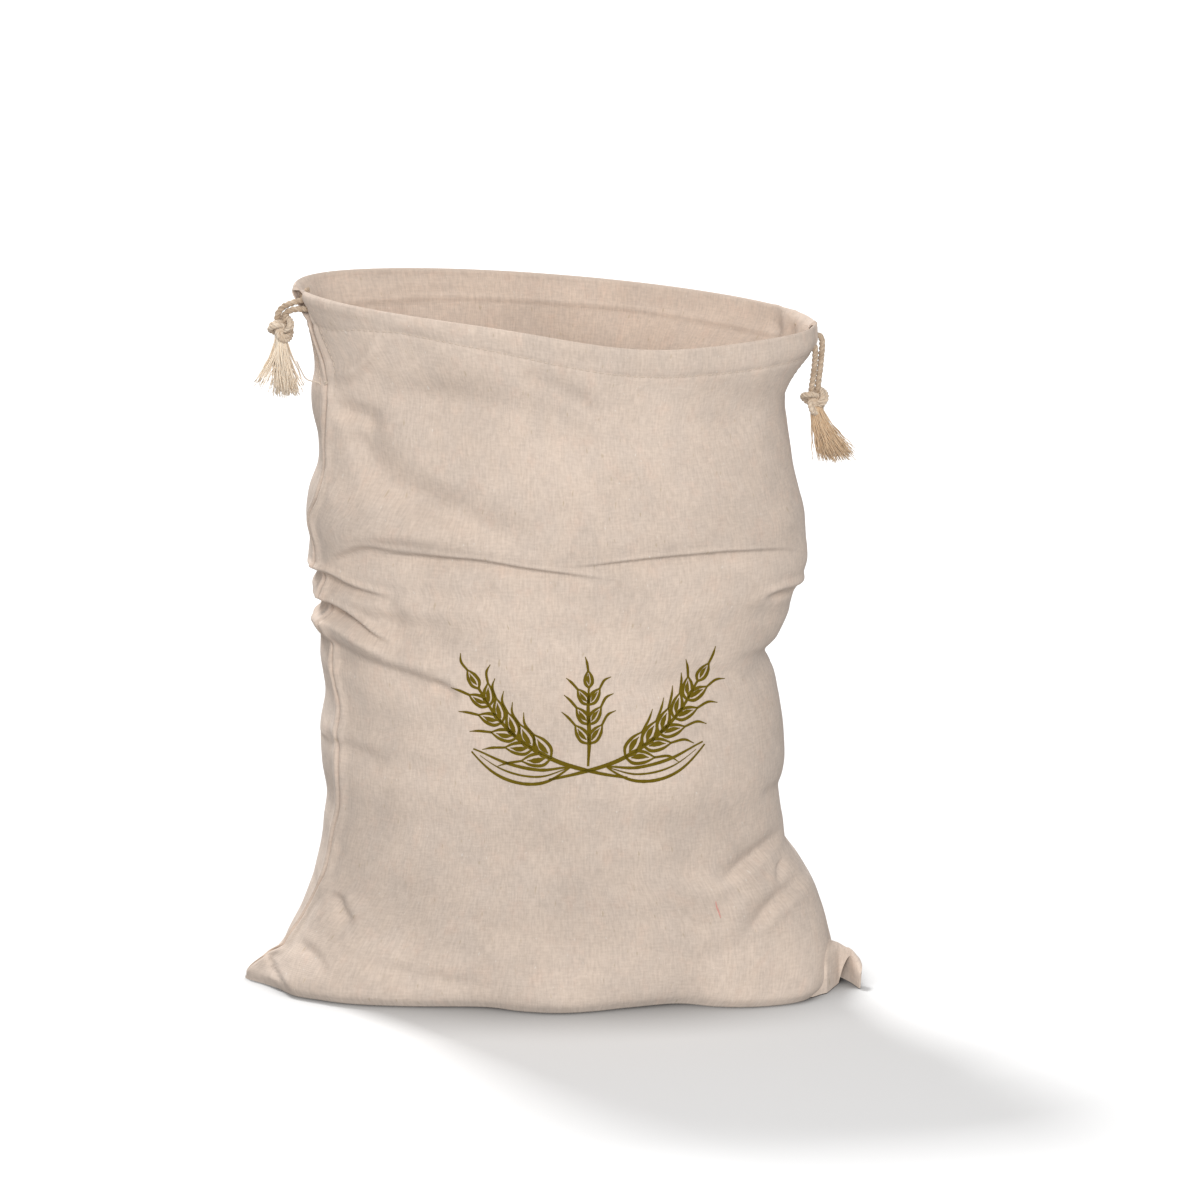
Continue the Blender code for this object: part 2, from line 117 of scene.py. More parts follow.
def spline(points: Sequence[Sequence[float]], step: float) -> Array:
    """Even steps along a smooth line through the points.

    Args:
        points: the points it passes through.
        step: about how far apart the new points are.

    Returns:
        The new points, one a row.
    """
    p = np.asarray(points, float)
    p = np.vstack([2 * p[0] - p[1], p, 2 * p[-1] - p[-2]])
    t = np.linspace(0.0, 1.0, 24, endpoint=False)[:, None]
    dense = [
        0.5 * (2 * b + (c - a) * t + (2 * a - 5 * b + 4 * c - d) * t**2 + (3 * b - a - 3 * c + d) * t**3)
        for a, b, c, d in zip(p, p[1:], p[2:], p[3:])
    ]
    line = np.vstack([*dense, p[-2:-1]])
    run = run_along(line)
    goal = np.linspace(0.0, run[-1], max(3, round(run[-1] / step)) + 1)
    return np.stack([np.interp(goal, run, line[:, k]) for k in range(line.shape[1])], axis=1)


def ripples(x: Array, z: Array, seed: int, size: float, stretch: float = 1.0) -> Array:
    """Soft uneven undulation, about -1 to 1, from crossing waves of several lengths.

    Args:
        x: places across.
        z: places up.
        seed: which pattern.
        size: length of the main waves.
        stretch: how much longer they are across than up.

    Returns:
        The height of the pattern at each place.
    """
    rng = random.Random(seed)
    made = np.zeros_like(x, dtype=float)
    total = 0.0
    for k in range(14):
        length = size * rng.uniform(0.6, 1.7)
        turn = rng.uniform(0.0, math.tau)
        kx, kz = math.cos(turn) / stretch, math.sin(turn)
        bend = 0.7 * np.sin(math.tau * (x * kz - z * kx) / (2.7 * length) + rng.uniform(0.0, math.tau))
        weight = rng.uniform(0.5, 1.0)
        made += weight * np.sin(math.tau * (x * kx + z * kz) / length + bend + rng.uniform(0.0, math.tau))
        total += weight
    return made / (0.42 * total)


# ------------------------------------------------------------------ finishes


# How deep the bumps of the weave and of the fibres are, in metres.
WEAVE_DEPTH, FIBRE_DEPTH = 0.0005, 0.0004


@dataclass(frozen=True)
class Tone:
    """A colour as linear red, green and blue."""

    red: float
    green: float
    blue: float

    def rgba(self) -> tuple[float, float, float, float]:
        """The colour with full alpha, as a socket takes it."""
        return (self.red, self.green, self.blue, 1.0)


class Nodes:
    """Short calls that add shader nodes to one tree and link them."""

    def __init__(self, tree: bpy.types.NodeTree) -> None:
        """Works on this tree."""
        self.tree = tree

    def put(self, socket: Socket, value: object) -> None:
        """Links an output to the socket, or sets a plain value on it.

        Args:
            socket: the input.
            value: an output, a plain value, or None to leave the input as it is.
        """
        if isinstance(value, bpy.types.NodeSocket):
            self.tree.links.new(value, socket)
        elif value is not None:
            socket.default_value = value

    def add(self, kind: str, **inputs: object) -> bpy.types.Node:
        """Adds a node and fills its inputs, named with _ for spaces.

        Args:
            kind: the node's type.
            **inputs: what each named input gets.

        Returns:
            The node.
        """
        node = self.tree.nodes.new(kind)
        for name, value in inputs.items():
            self.put(node.inputs[name.replace("_", " ")], value)
        return node

    def math(self, operation: str, a: object, b: object = None, c: object = None) -> Socket:
        """One sum.

        Args:
            operation: which sum, by Blender's name.
            a: the first value.
            b: the second value.
            c: the third value.

        Returns:
            Its result.
        """
        node = self.tree.nodes.new("ShaderNodeMath")
        node.operation = operation
        for socket, value in zip(node.inputs, (a, b, c)):
            self.put(socket, value)
        return node.outputs[0]

    def mix(self, share: object, a: object, b: object, blend: str = "MIX") -> Socket:
        """Mixes two colours.

        Args:
            share: how much of the second colour shows, from 0 to 1.
            a: the first colour.
            b: the second colour.
            blend: how they mix, by Blender's name.

        Returns:
            The mixed colour.
        """
        node = self.tree.nodes.new("ShaderNodeMix")
        node.data_type, node.blend_type = "RGBA", blend
        for k, value in ((0, share), (6, a), (7, b)):
            self.put(node.inputs[k], value)
        return node.outputs[2]

    def scaled(self, vector: object, x: float, y: float, z: float = 1.0) -> Socket:
        """Multiplies each part of a vector.

        Args:
            vector: the vector.
            x: what its first part is multiplied by.
            y: the same for the second part.
            z: the same for the third part.

        Returns:
            The new vector.
        """
        node = self.tree.nodes.new("ShaderNodeVectorMath")
        node.operation = "MULTIPLY"
        self.put(node.inputs[0], vector)
        node.inputs[1].default_value = (x, y, z)
        return node.outputs[0]

    def noise(self, vector: object, scale: float, detail: float = 2.0, rough: float = 0.5) -> Socket:
        """Cloudy noise from 0 to 1."""
        return self.add("ShaderNodeTexNoise", Vector=vector, Scale=scale, Detail=detail, Roughness=rough).outputs[0]

    def between(self, value: object, low: float, high: float, to_low: float = 0.0, to_high: float = 1.0) -> Socket:
        """Moves a value from one range into another, with soft ends.

        Args:
            value: the value.
            low: the foot of its range.
            high: the top of its range.
            to_low: what the foot becomes.
            to_high: what the top becomes.

        Returns:
            The moved value.
        """
        node = self.tree.nodes.new("ShaderNodeMapRange")
        node.interpolation_type = "SMOOTHSTEP"
        for socket, given in zip(node.inputs, (value, low, high, to_low, to_high)):
            self.put(socket, given)
        return node.outputs[0]

    def laid(self, group: bpy.types.NodeTree, map_name: str) -> tuple[bpy.types.Node, Socket]:
        """Places a shared group that reads the piece's flat coordinates in millimetres.

        Args:
            group: the group, whose first input takes them.
            map_name: the name of the piece's map.

        Returns:
            The group's node, and the coordinates in metres.
        """
        coordinates = self.tree.nodes.new("ShaderNodeUVMap")
        coordinates.uv_map = map_name
        node = self.tree.nodes.new("ShaderNodeGroup")
        node.node_tree = group
        self.put(node.inputs[0], self.scaled(coordinates.outputs[0], PER_METRE, PER_METRE))
        return node, coordinates.outputs[0]

    def raise_by(self, shader: bpy.types.Node, height: Socket, strength: float, depth: float) -> None:
        """Gives a shader a bump, with its depth in metres."""
        raised = self.add("ShaderNodeBump", Height=height, Strength=strength, Distance=depth)
        self.put(shader.inputs["Normal"], raised.outputs[0])


def new_group(
    name: str, inputs: Iterable[tuple[str, str, float]], outputs: Iterable[tuple[str, str]],
) -> bpy.types.NodeTree:
    """A shader node group with named sockets.

    Args:
        name: the group's name.
        inputs: name, short socket type and default of each input.
        outputs: name and short socket type of each output.

    Returns:
        The group, with its input and output nodes inside.
    """
    group = bpy.data.node_groups.new(name, "ShaderNodeTree")
    for label, kind, default in inputs:
        socket = group.interface.new_socket(name=label, in_out="INPUT", socket_type=f"NodeSocket{kind}")
        if kind == "Float":
            socket.default_value = default
    for label, kind in outputs:
        group.interface.new_socket(name=label, in_out="OUTPUT", socket_type=f"NodeSocket{kind}")
    group.nodes.new("NodeGroupInput")
    group.nodes.new("NodeGroupOutput")
    return group


def weave_group() -> bpy.types.NodeTree:
    """Plain weave of uneven yarn, from flat cloth coordinates in millimetres.

    Returns:
        The group.
    """
    group = new_group(
        "plain_weave",
        (("Cloth", "Vector", 0.0), ("Pitch", "Float", 0.8)),
        [(label, "Float") for label in ("Height", "Yarn", "Warmth", "Blush", "Fleck", "Nep", "Cloud")],
    )
    n = Nodes(group)
    given, out = group.nodes["Group Input"], group.nodes["Group Output"]
    cloth, pitch = given.outputs[:2]
    warp = n.noise(n.scaled(cloth, 0.95, 0.17), 1.0, 3.0, 0.62)
    weft = n.noise(n.scaled(cloth, 0.26, 0.90), 1.0, 2.0, 0.55)
    wander = n.noise(n.scaled(cloth, 0.10, 0.10), 1.0, 2.0)
    parts = n.add("ShaderNodeSeparateXYZ", Vector=cloth)
    across = n.math("DIVIDE", n.math("MULTIPLY_ADD", wander, 1.6, parts.outputs[0]), pitch)
    along = n.math("DIVIDE", n.math("MULTIPLY_ADD", wander, -1.3, parts.outputs[1]), pitch)
    over = n.math("SINE", n.math("MULTIPLY", n.math("ADD", across, along), math.pi))
    under = n.math("SINE", n.math("MULTIPLY", n.math("SUBTRACT", across, along), math.pi))
    yarn = n.math("MULTIPLY_ADD", warp, 0.64, n.math("MULTIPLY", weft, 0.36))
    n.put(out.inputs["Height"], n.math("MULTIPLY_ADD", n.math("MULTIPLY", over, under), 0.13, yarn))
    n.put(out.inputs["Yarn"], yarn)
    for label, stretch, noise, low, high in (
        ("Warmth", (0.085, 0.040), (1.0, 3.0, 0.55), 0.34, 0.66),
        ("Blush", (0.062, 0.046), (1.7, 4.0, 0.65), 0.50, 0.72),
        ("Fleck", (0.50, 0.15), (1.0, 1.0), 0.70, 0.79),
        ("Nep", (0.46, 0.24), (1.37, 1.0), 0.72, 0.80),
    ):
        n.put(out.inputs[label], n.between(n.noise(n.scaled(cloth, *stretch), *noise), low, high))
    n.put(out.inputs["Cloud"], n.noise(n.scaled(cloth, 0.020, 0.026), 1.0, 5.0, 0.62))
    return group


def fibre_group() -> bpy.types.NodeTree:
    """Fine fibres that run slantwise round a yarn, from coordinates round and along it in millimetres, with a mask
    of painted shade that is darkest in the hollows of the fibres' bump.

    Returns:
        The group.
    """
    group = new_group(
        "spun_fibre",
        (("Yarn", "Vector", 0.0), ("Slant", "Float", 0.8)),
        [(label, "Float") for label in ("Height", "Painted_Shade", "Patch")],
    )
    n = Nodes(group)
    given, out = group.nodes["Group Input"], group.nodes["Group Output"]
    yarn, slant = given.outputs[:2]
    parts = n.add("ShaderNodeSeparateXYZ", Vector=yarn)
    turned = n.math("MULTIPLY_ADD", parts.outputs[1], slant, parts.outputs[0])
    place = n.add("ShaderNodeCombineXYZ", X=turned, Y=n.math("MULTIPLY", parts.outputs[1], 0.16)).outputs[0]
    fibres = n.noise(place, 3.4, 3.0, 0.65)
    n.put(out.inputs["Height"], fibres)
    # Painted shade: this colour mask follows the fibre bump, darkest where the bump is lowest.
    n.put(out.inputs["Painted_Shade"], n.between(fibres, 0.30, 0.70))
    n.put(out.inputs["Patch"], n.noise(yarn, 0.22, 2.0))
    return group


@dataclass(frozen=True)
class ClothFinish:
    """Undyed linen: warm, cool and pink yarns in soft patches, flecks of husk, pale neps and a fine grain."""

    name: str
    warm: Tone
    cool: Tone
    blush: Tone
    fleck: Tone
    nep: Tone
    yarn_contrast: float = 0.13
    cloud_contrast: float = 0.055
    blush_share: float = 0.42
    fleck_share: float = 0.42
    nep_share: float = 0.50
    bump: float = 0.34
    sheen: float = 0.12
    sheen_rough: float = 0.6
    gloss: float = 0.22

    def build(self, weave: bpy.types.NodeTree) -> bpy.types.Material:
        """Makes the material.

        Args:
            weave: the shared weave group.

        Returns:
            The material, which reads the piece's map named flat.
        """
        made, n, shader = new_material(self.name)
        cloth, _ = n.laid(weave, "flat")
        tone = n.mix(cloth.outputs["Warmth"], self.cool.rgba(), self.warm.rgba())
        tone = n.mix(n.math("MULTIPLY", cloth.outputs["Blush"], self.blush_share), tone, self.blush.rgba())
        yarns, clouds = self.yarn_contrast, self.cloud_contrast
        light = n.between(cloth.outputs["Yarn"], 0.25, 0.75, 1.0 - yarns, 1.0 + yarns)
        light = n.math("MULTIPLY", light, n.between(cloth.outputs["Cloud"], 0.32, 0.66, 1.0 - clouds, 1.0 + clouds))
        grey = n.add("ShaderNodeCombineColor", Red=light, Green=light, Blue=light).outputs[0]
        tone = n.mix(1.0, tone, grey, "MULTIPLY")
        tone = n.mix(n.math("MULTIPLY", cloth.outputs["Fleck"], self.fleck_share), tone, self.fleck.rgba())
        tone = n.mix(n.math("MULTIPLY", cloth.outputs["Nep"], self.nep_share), tone, self.nep.rgba())
        n.put(shader.inputs["Base Color"], tone)
        n.put(shader.inputs["Roughness"], n.between(cloth.outputs["Yarn"], 0.2, 0.8, 0.97, 0.86))
        n.raise_by(shader, cloth.outputs["Height"], self.bump, WEAVE_DEPTH)
        shader.inputs["Sheen Weight"].default_value = self.sheen
        shader.inputs["Sheen Roughness"].default_value = self.sheen_rough
        shader.inputs["Specular IOR Level"].default_value = self.gloss
        return made


@dataclass(frozen=True)
class InkFinish:
    """Screen print on the weave, thinner where yarns stand up."""

    name: str
    ink: Tone
    thin: Tone
    patch: float = 160.0
    bump: float = 0.35
    gloss: float = 0.12

    def build(self, weave: bpy.types.NodeTree) -> bpy.types.Material:
        """Makes the material.

        Args:
            weave: the shared weave group.

        Returns:
            The material, which reads the piece's map named flat.
        """
        made, n, shader = new_material(self.name)
        cloth, flat = n.laid(weave, "flat")
        patch = n.noise(n.scaled(flat, self.patch, self.patch), 1.0, 3.0)
        raised = n.between(cloth.outputs["Yarn"], 0.45, 0.95, 0.0, 0.55)
        worn = n.math("ADD", raised, n.between(patch, 0.4, 0.75, 0.0, 0.3))
        n.put(shader.inputs["Base Color"], n.mix(worn, self.ink.rgba(), self.thin.rgba()))
        n.put(shader.inputs["Roughness"], n.between(patch, 0.3, 0.7, 0.72, 0.85))
        shader.inputs["Specular IOR Level"].default_value = self.gloss
        n.raise_by(shader, cloth.outputs["Height"], self.bump, WEAVE_DEPTH)
        return made


@dataclass(frozen=True)
class YarnFinish:
    """Spun cotton with fine slanting fibres and broad random patches of tone, coloured with painted light and
    shade: paler on the fibres' crowns, darker in their hollows.
    """

    name: str
    pale: Tone
    deep: Tone
    slant: float = 0.8
    bump: float = 0.5
    sheen: float = 0.2
    gloss: float = 0.2

    def build(self, fibre: bpy.types.NodeTree) -> bpy.types.Material:
        """Makes the material.

        Args:
            fibre: the shared fibre group.

        Returns:
            The material, which reads the piece's map named yarn.
        """
        made, n, shader = new_material(self.name)
        spun, _ = n.laid(fibre, "yarn")
        n.put(spun.inputs["Slant"], self.slant)
        # Painted shade and highlight: the fibre bump's mask darkens the hollows and pales the crowns; the broad
        # patches are random tone.
        painted_hollow_shade = n.math("MULTIPLY", spun.outputs["Painted_Shade"], 0.65)
        share = n.math("MULTIPLY_ADD", n.between(spun.outputs["Patch"], 0.3, 0.7), 0.35, painted_hollow_shade)
        n.put(shader.inputs["Base Color"], n.mix(share, self.deep.rgba(), self.pale.rgba()))
        n.put(shader.inputs["Roughness"], n.between(spun.outputs["Painted_Shade"], 0.0, 1.0, 0.98, 0.84))
        n.raise_by(shader, spun.outputs["Height"], self.bump, FIBRE_DEPTH)
        shader.inputs["Sheen Weight"].default_value = self.sheen
        shader.inputs["Specular IOR Level"].default_value = self.gloss
        return made


def new_material(name: str) -> tuple[bpy.types.Material, Nodes, bpy.types.Node]:
    """Makes an empty material.

    Args:
        name: its name.

    Returns:
        The material, the helper for its tree, and its shader.
    """
    made = bpy.data.materials.new(name)
    made.use_nodes = True
    return made, Nodes(made.node_tree), made.node_tree.nodes["Principled BSDF"]


# ------------------------------------------------------------------ meshes


@dataclass
class Mesh:
    """Points, faces and flat coordinates gathered for one piece."""

    points: list[Array] = field(default_factory=list)
    flat: list[Array] = field(default_factory=list)
    faces: list[Face] = field(default_factory=list)
    count: int = 0

    def rows(self, points: Array, flat: Array) -> int:
        """Adds points.

        Args:
            points: their places.
            flat: their flat coordinates.

        Returns:
            The first one's number.
        """
        first = self.count
        self.points.append(np.asarray(points, float).reshape(-1, 3))
        self.flat.append(np.asarray(flat, float).reshape(-1, 2))
        self.count += len(self.points[-1])
        return first

    def face(self, corners: Face, kept: bool) -> None:
        """Adds one face, turned over unless it is kept."""
        self.faces.append(corners if kept else corners[::-1])

    def grid(self, first: int, rows: int, columns: int, turned: bool = False, closed: bool = False) -> None:
        """Joins rows of points into faces.

        Args:
            first: number of the first point.
            rows: how many rows there are.
            columns: points in each row.
            turned: whether the faces look the other way.
            closed: whether each row closes on itself.
        """
        for r in range(rows - 1):
            low, high = first + r * columns, first + (r + 1) * columns
            for c in range(columns if closed else columns - 1):
                d = (c + 1) % columns
                self.face((low + c, low + d, high + d, high + c), not turned)

    def step_down(self, fine: Sequence[int], coarse: Sequence[int], at: Array, kept: bool) -> None:
        """Joins a fine row of points to one with fewer.

        Args:
            fine: the numbers of the fine row's points.
            coarse: the numbers of the other row's points.
            at: which place in the fine row each of those stands at.
            kept: whether the faces keep their direction.
        """
        for k in range(len(at) - 1):
            low, high = int(at[k]), int(at[k + 1])
            if high - low == 1:
                self.face((fine[low], fine[high], coarse[k + 1], coarse[k]), kept)
                continue
            mid = (low + high) // 2
            self.face((fine[low], fine[mid], coarse[k]), kept)
            self.face((fine[mid], coarse[k + 1], coarse[k]), kept)
            self.face((fine[mid], fine[high], coarse[k + 1]), kept)

    def build(
        self, name: str, material: bpy.types.Material, map_name: str, sharp: float = 180.0,
    ) -> bpy.types.Object:
        """Makes the object.

        Args:
            name: the piece's name.
            material: what it wears.
            map_name: the name of its flat coordinates.
            sharp: angle in degrees past which an edge isn't shaded smooth.

        Returns:
            The object, in the scene.
        """
        points = np.concatenate(self.points) * MM
        flat = np.concatenate(self.flat) * MM
        mesh = bpy.data.meshes.new(name)
        mesh.from_pydata(points.tolist(), [], self.faces)
        mesh.update()
        corners = np.empty(len(mesh.loops), np.int32)
        mesh.loops.foreach_get("vertex_index", corners)
        layer = mesh.uv_layers.new(name=map_name)
        layer.uv.foreach_set("vector", flat[corners].astype(np.float32).ravel())
        mesh.materials.append(material)
        mesh.shade_smooth()
        if sharp < 180.0:
            mesh.set_sharp_from_angle(angle=math.radians(sharp))
        made = bpy.data.objects.new(name, mesh)
        bpy.context.scene.collection.objects.link(made)
        return made


def frames_along(path: Array) -> tuple[Array, Array]:
    """Two directions square to a path, carried along it without twisting.

    Args:
        path: its points.

    Returns:
        Both directions at each point.
    """
    ahead = unit(np.gradient(path, axis=0))
    side = np.cross(ahead[0], (0.0, 0.0, 1.0) if abs(ahead[0][2]) < 0.9 else (1.0, 0.0, 0.0))
    sides = []
    for forward in ahead:
        side = unit(side - forward * np.dot(side, forward))
        sides.append(side)
    sides = np.array(sides)
    return sides, np.cross(ahead, sides)


def add_tube(
    mesh: Mesh, path: Array, radius: Array | float, sides: int,
    plies: int = 0, lay: float = 7.5, groove: float = 0.0, start: float = 0.0,
) -> None:
    """Adds a closed tube, round or laid of several plies.

    Args:
        mesh: where it goes.
        path: its centreline.
        radius: its radius, or one for each point.
        sides: faces round it.
        plies: strands laid together, or 0 for a round tube.
        lay: length of one turn of them.
        groove: how deep the hollows between them are, as a share of the radius.
        start: flat coordinate that the first ring has.
    """
    side, up = frames_along(path)
    run = run_along(path)
    angle = math.tau * np.arange(sides) / sides
    size = np.broadcast_to(np.asarray(radius, float), (len(path),))[:, None]
    if plies:
        turn = math.tau * run[:, None] / lay
        crown = np.abs(np.cos(0.5 * plies * angle))[None, :] ** 0.75
        size = size * (1.0 - groove + groove * crown)
    else:
        turn = np.zeros((len(path), 1))
    around = angle[None, :] + turn
    rings = path[:, None, :] + size[..., None] * (
        np.cos(around)[..., None] * side[:, None, :] + np.sin(around)[..., None] * up[:, None, :]
    )
    mean = float(np.mean(np.asarray(radius)))
    flat = np.stack(np.broadcast_arrays(angle[None, :] * mean, start + run[:, None]), axis=-1)
    first = mesh.rows(rings, flat)
    mesh.grid(first, len(path), sides, closed=True)
    last = first + (len(path) - 1) * sides
    mesh.face(tuple(range(first, first + sides)), False)
    mesh.face(tuple(range(last, last + sides)), True)


# ------------------------------------------------------------------ the cloth's shape


class Side(Enum):
    """Which panel of the cloth."""

    FRONT = 1
    BACK = -1


class Fade(Enum):
    """Where a crease dies out."""

    BOTH = "both"
    END = "end"
    START = "start"


@dataclass(frozen=True)
class Crease:
    """A valley in the cloth with a roll beside it, to the left of its direction."""

    side: Side
    line: str
    depth: float
    width: float
    lip: float = 0.0
    gentle: float = 1.0
    fade: Fade = Fade.BOTH

    def reach(self) -> float:
        """How far from its line it still shows."""
        return 4.2 * self.width * max(1.0, self.gentle)

    def push(self, x: Array, z: Array, line: Array) -> Array:
        """How far it moves the cloth outwards at each place.

        Args:
            x: places across.
            z: places up.
            line: its points in the same coordinates.

        Returns:
            The moves, negative inwards.
        """
        best = np.full(x.shape, 1e9)
        signed = np.zeros(x.shape)
        part = np.zeros(x.shape)
        runs = run_along(line)
        for k, (a, b) in enumerate(zip(line, line[1:])):
            d = b - a
            long = float(np.hypot(*d))
            t = np.clip(((x - a[0]) * d[0] + (z - a[1]) * d[1]) / long**2, 0.0, 1.0)
            away = np.hypot(x - a[0] - t * d[0], z - a[1] - t * d[1])
            left = (z - a[1]) * d[0] - (x - a[0]) * d[1]
            near = away < best
            best = np.where(near, away, best)
            signed = np.where(near, np.copysign(away, left), signed)
            part = np.where(near, (runs[k] + t * long) / runs[-1], part)
        ending = smooth((1.03 - part) / 0.4) if self.fade in (Fade.BOTH, Fade.END) else 1.0
        strength = ending * (smooth((part + 0.03) / 0.3) if self.fade in (Fade.BOTH, Fade.START) else 1.0)
        wide = np.where(signed < 0, self.width * self.gentle, self.width)
        valley = self.depth * bell(signed / wide)
        roll = self.lip * bell((signed - 1.9 * self.width) / (1.25 * self.width))
        return strength * (roll - valley)


@dataclass(frozen=True)
class Swell:
    """A soft round swelling or hollow."""

    side: Side
    x: float
    z: float
    wide: float
    high: float
    out: float


SECTION_NAMES = ("left", "right", "front", "back", "tip", "turn_left", "turn_right")
SECTIONS = np.array((
    # h    left   right  front back  tip   seam turned, degrees: left to the front, right to the back
    (0,   130.5, 132.0, 55.0, 54.0, 0.80, 2, 2),
    (5,   134.0, 135.5, 60.0, 58.0, 0.80, 3, 3),
    (14,  133.0, 135.5, 62.5, 61.0, 0.83, 5, 6),
    (22,  130.5, 134.3, 63.5, 62.0, 0.87, 7, 9),
    (34,  124.5, 132.2, 64.5, 63.5, 0.90, 10, 12),
    (46,  120.0, 128.3, 66.5, 65.0, 0.93, 13, 14),
    (58,  116.0, 121.5, 69.5, 67.0, 0.95, 17, 15),
    (69,  113.6, 113.4, 72.0, 69.0, 0.97, 18, 15),
    (80,  111.8, 112.3, 73.5, 71.0, 0.97, 19, 15),
    (95,  109.8, 109.6, 75.0, 72.0, 0.97, 22, 15),
    (112, 112.4, 112.7, 76.0, 73.0, 0.97, 24, 15),
    (128, 113.2, 111.8, 75.5, 73.0, 0.98, 23, 15),
    (145, 110.8, 109.2, 74.0, 72.5, 0.98, 22, 15),
    (156, 112.2, 107.0, 72.5, 72.0, 0.98, 20, 15),
    (167, 114.6, 102.3, 70.5, 71.0, 0.98, 18, 15),
    (176, 115.6, 110.0, 69.0, 70.0, 0.98, 18, 15),
    (186, 115.7, 114.6, 67.5, 69.0, 0.98, 18, 15),
    (192, 112.0, 116.2, 66.5, 68.0, 0.98, 17, 15),
    (200, 117.5, 120.4, 65.5, 67.0, 0.99, 17, 15),
    (207, 114.8, 122.6, 64.0, 66.0, 1.00, 16, 15),
    (213, 118.8, 124.0, 63.5, 65.0, 1.00, 16, 14),
    (224, 118.3, 123.4, 63.5, 64.5, 1.00, 15, 14),
    (236, 119.8, 122.4, 66.0, 63.5, 1.00, 12, 13),
    (248, 118.6, 119.6, 66.0, 62.5, 1.00, 17, 12),
    (260, 114.2, 117.0, 64.5, 61.5, 1.00, 17, 12),
    (272, 114.2, 115.0, 62.5, 60.5, 1.00, 17, 11),
    (284, 117.4, 113.2, 60.5, 60.0, 1.00, 20, 10),
    (293, 117.6, 112.0, 59.5, 59.5, 1.00, 21, 9),
    (301, 116.0, 112.6, 58.5, 59.0, 1.00, 19, 8),
    (309, 116.4, 115.6, 58.0, 58.5, 1.00, 17, 6),
    (317, 118.0, 119.6, 57.5, 58.0, 1.00, 14, 4),
    (325, 120.4, 124.4, 57.0, 57.5, 1.00, 11, 2),
    (333, 123.2, 127.4, 57.2, 57.5, 1.00, 9, 1),
    (340, 125.6, 128.3, 57.5, 58.0, 1.00, 8, 0),
), float)


@dataclass
class FrontView:
    """Turns places in the 1184 frame seen from the front into places on the front cloth."""

    per_pixel: float = 0.488
    middle: float = 553.0
    floor: float = 978.0
    rise: float = 15.0

    def places(self, line: str, shape: "BagShape") -> Array:
        """The line's points as x and z on the cloth.

        Args:
            line: points as "x,y x,y" in the frame.
            shape: the bag, for how far forward its front stands.

        Returns:
            One row of x and z for each point.
        """
        given = points_of(line)
        x = (given[:, 0] - self.middle) * self.per_pixel
        seen = (self.floor - given[:, 1]) * self.per_pixel
        up, ahead = math.cos(math.radians(self.rise)), math.sin(math.radians(self.rise))
        z = seen / up
        for _ in range(4):
            s = shape.section(np.clip(z, 0.0, shape.rim))
            half = np.where(x < 0, s["left"], s["right"])
            forward = s["front"] * np.sqrt(np.clip(1.0 - (x / half) ** 2, 0.0, 1.0))
            z = (seen + forward * ahead) / up
        return np.stack([x, z], axis=1)


F, B = Side.FRONT, Side.BACK

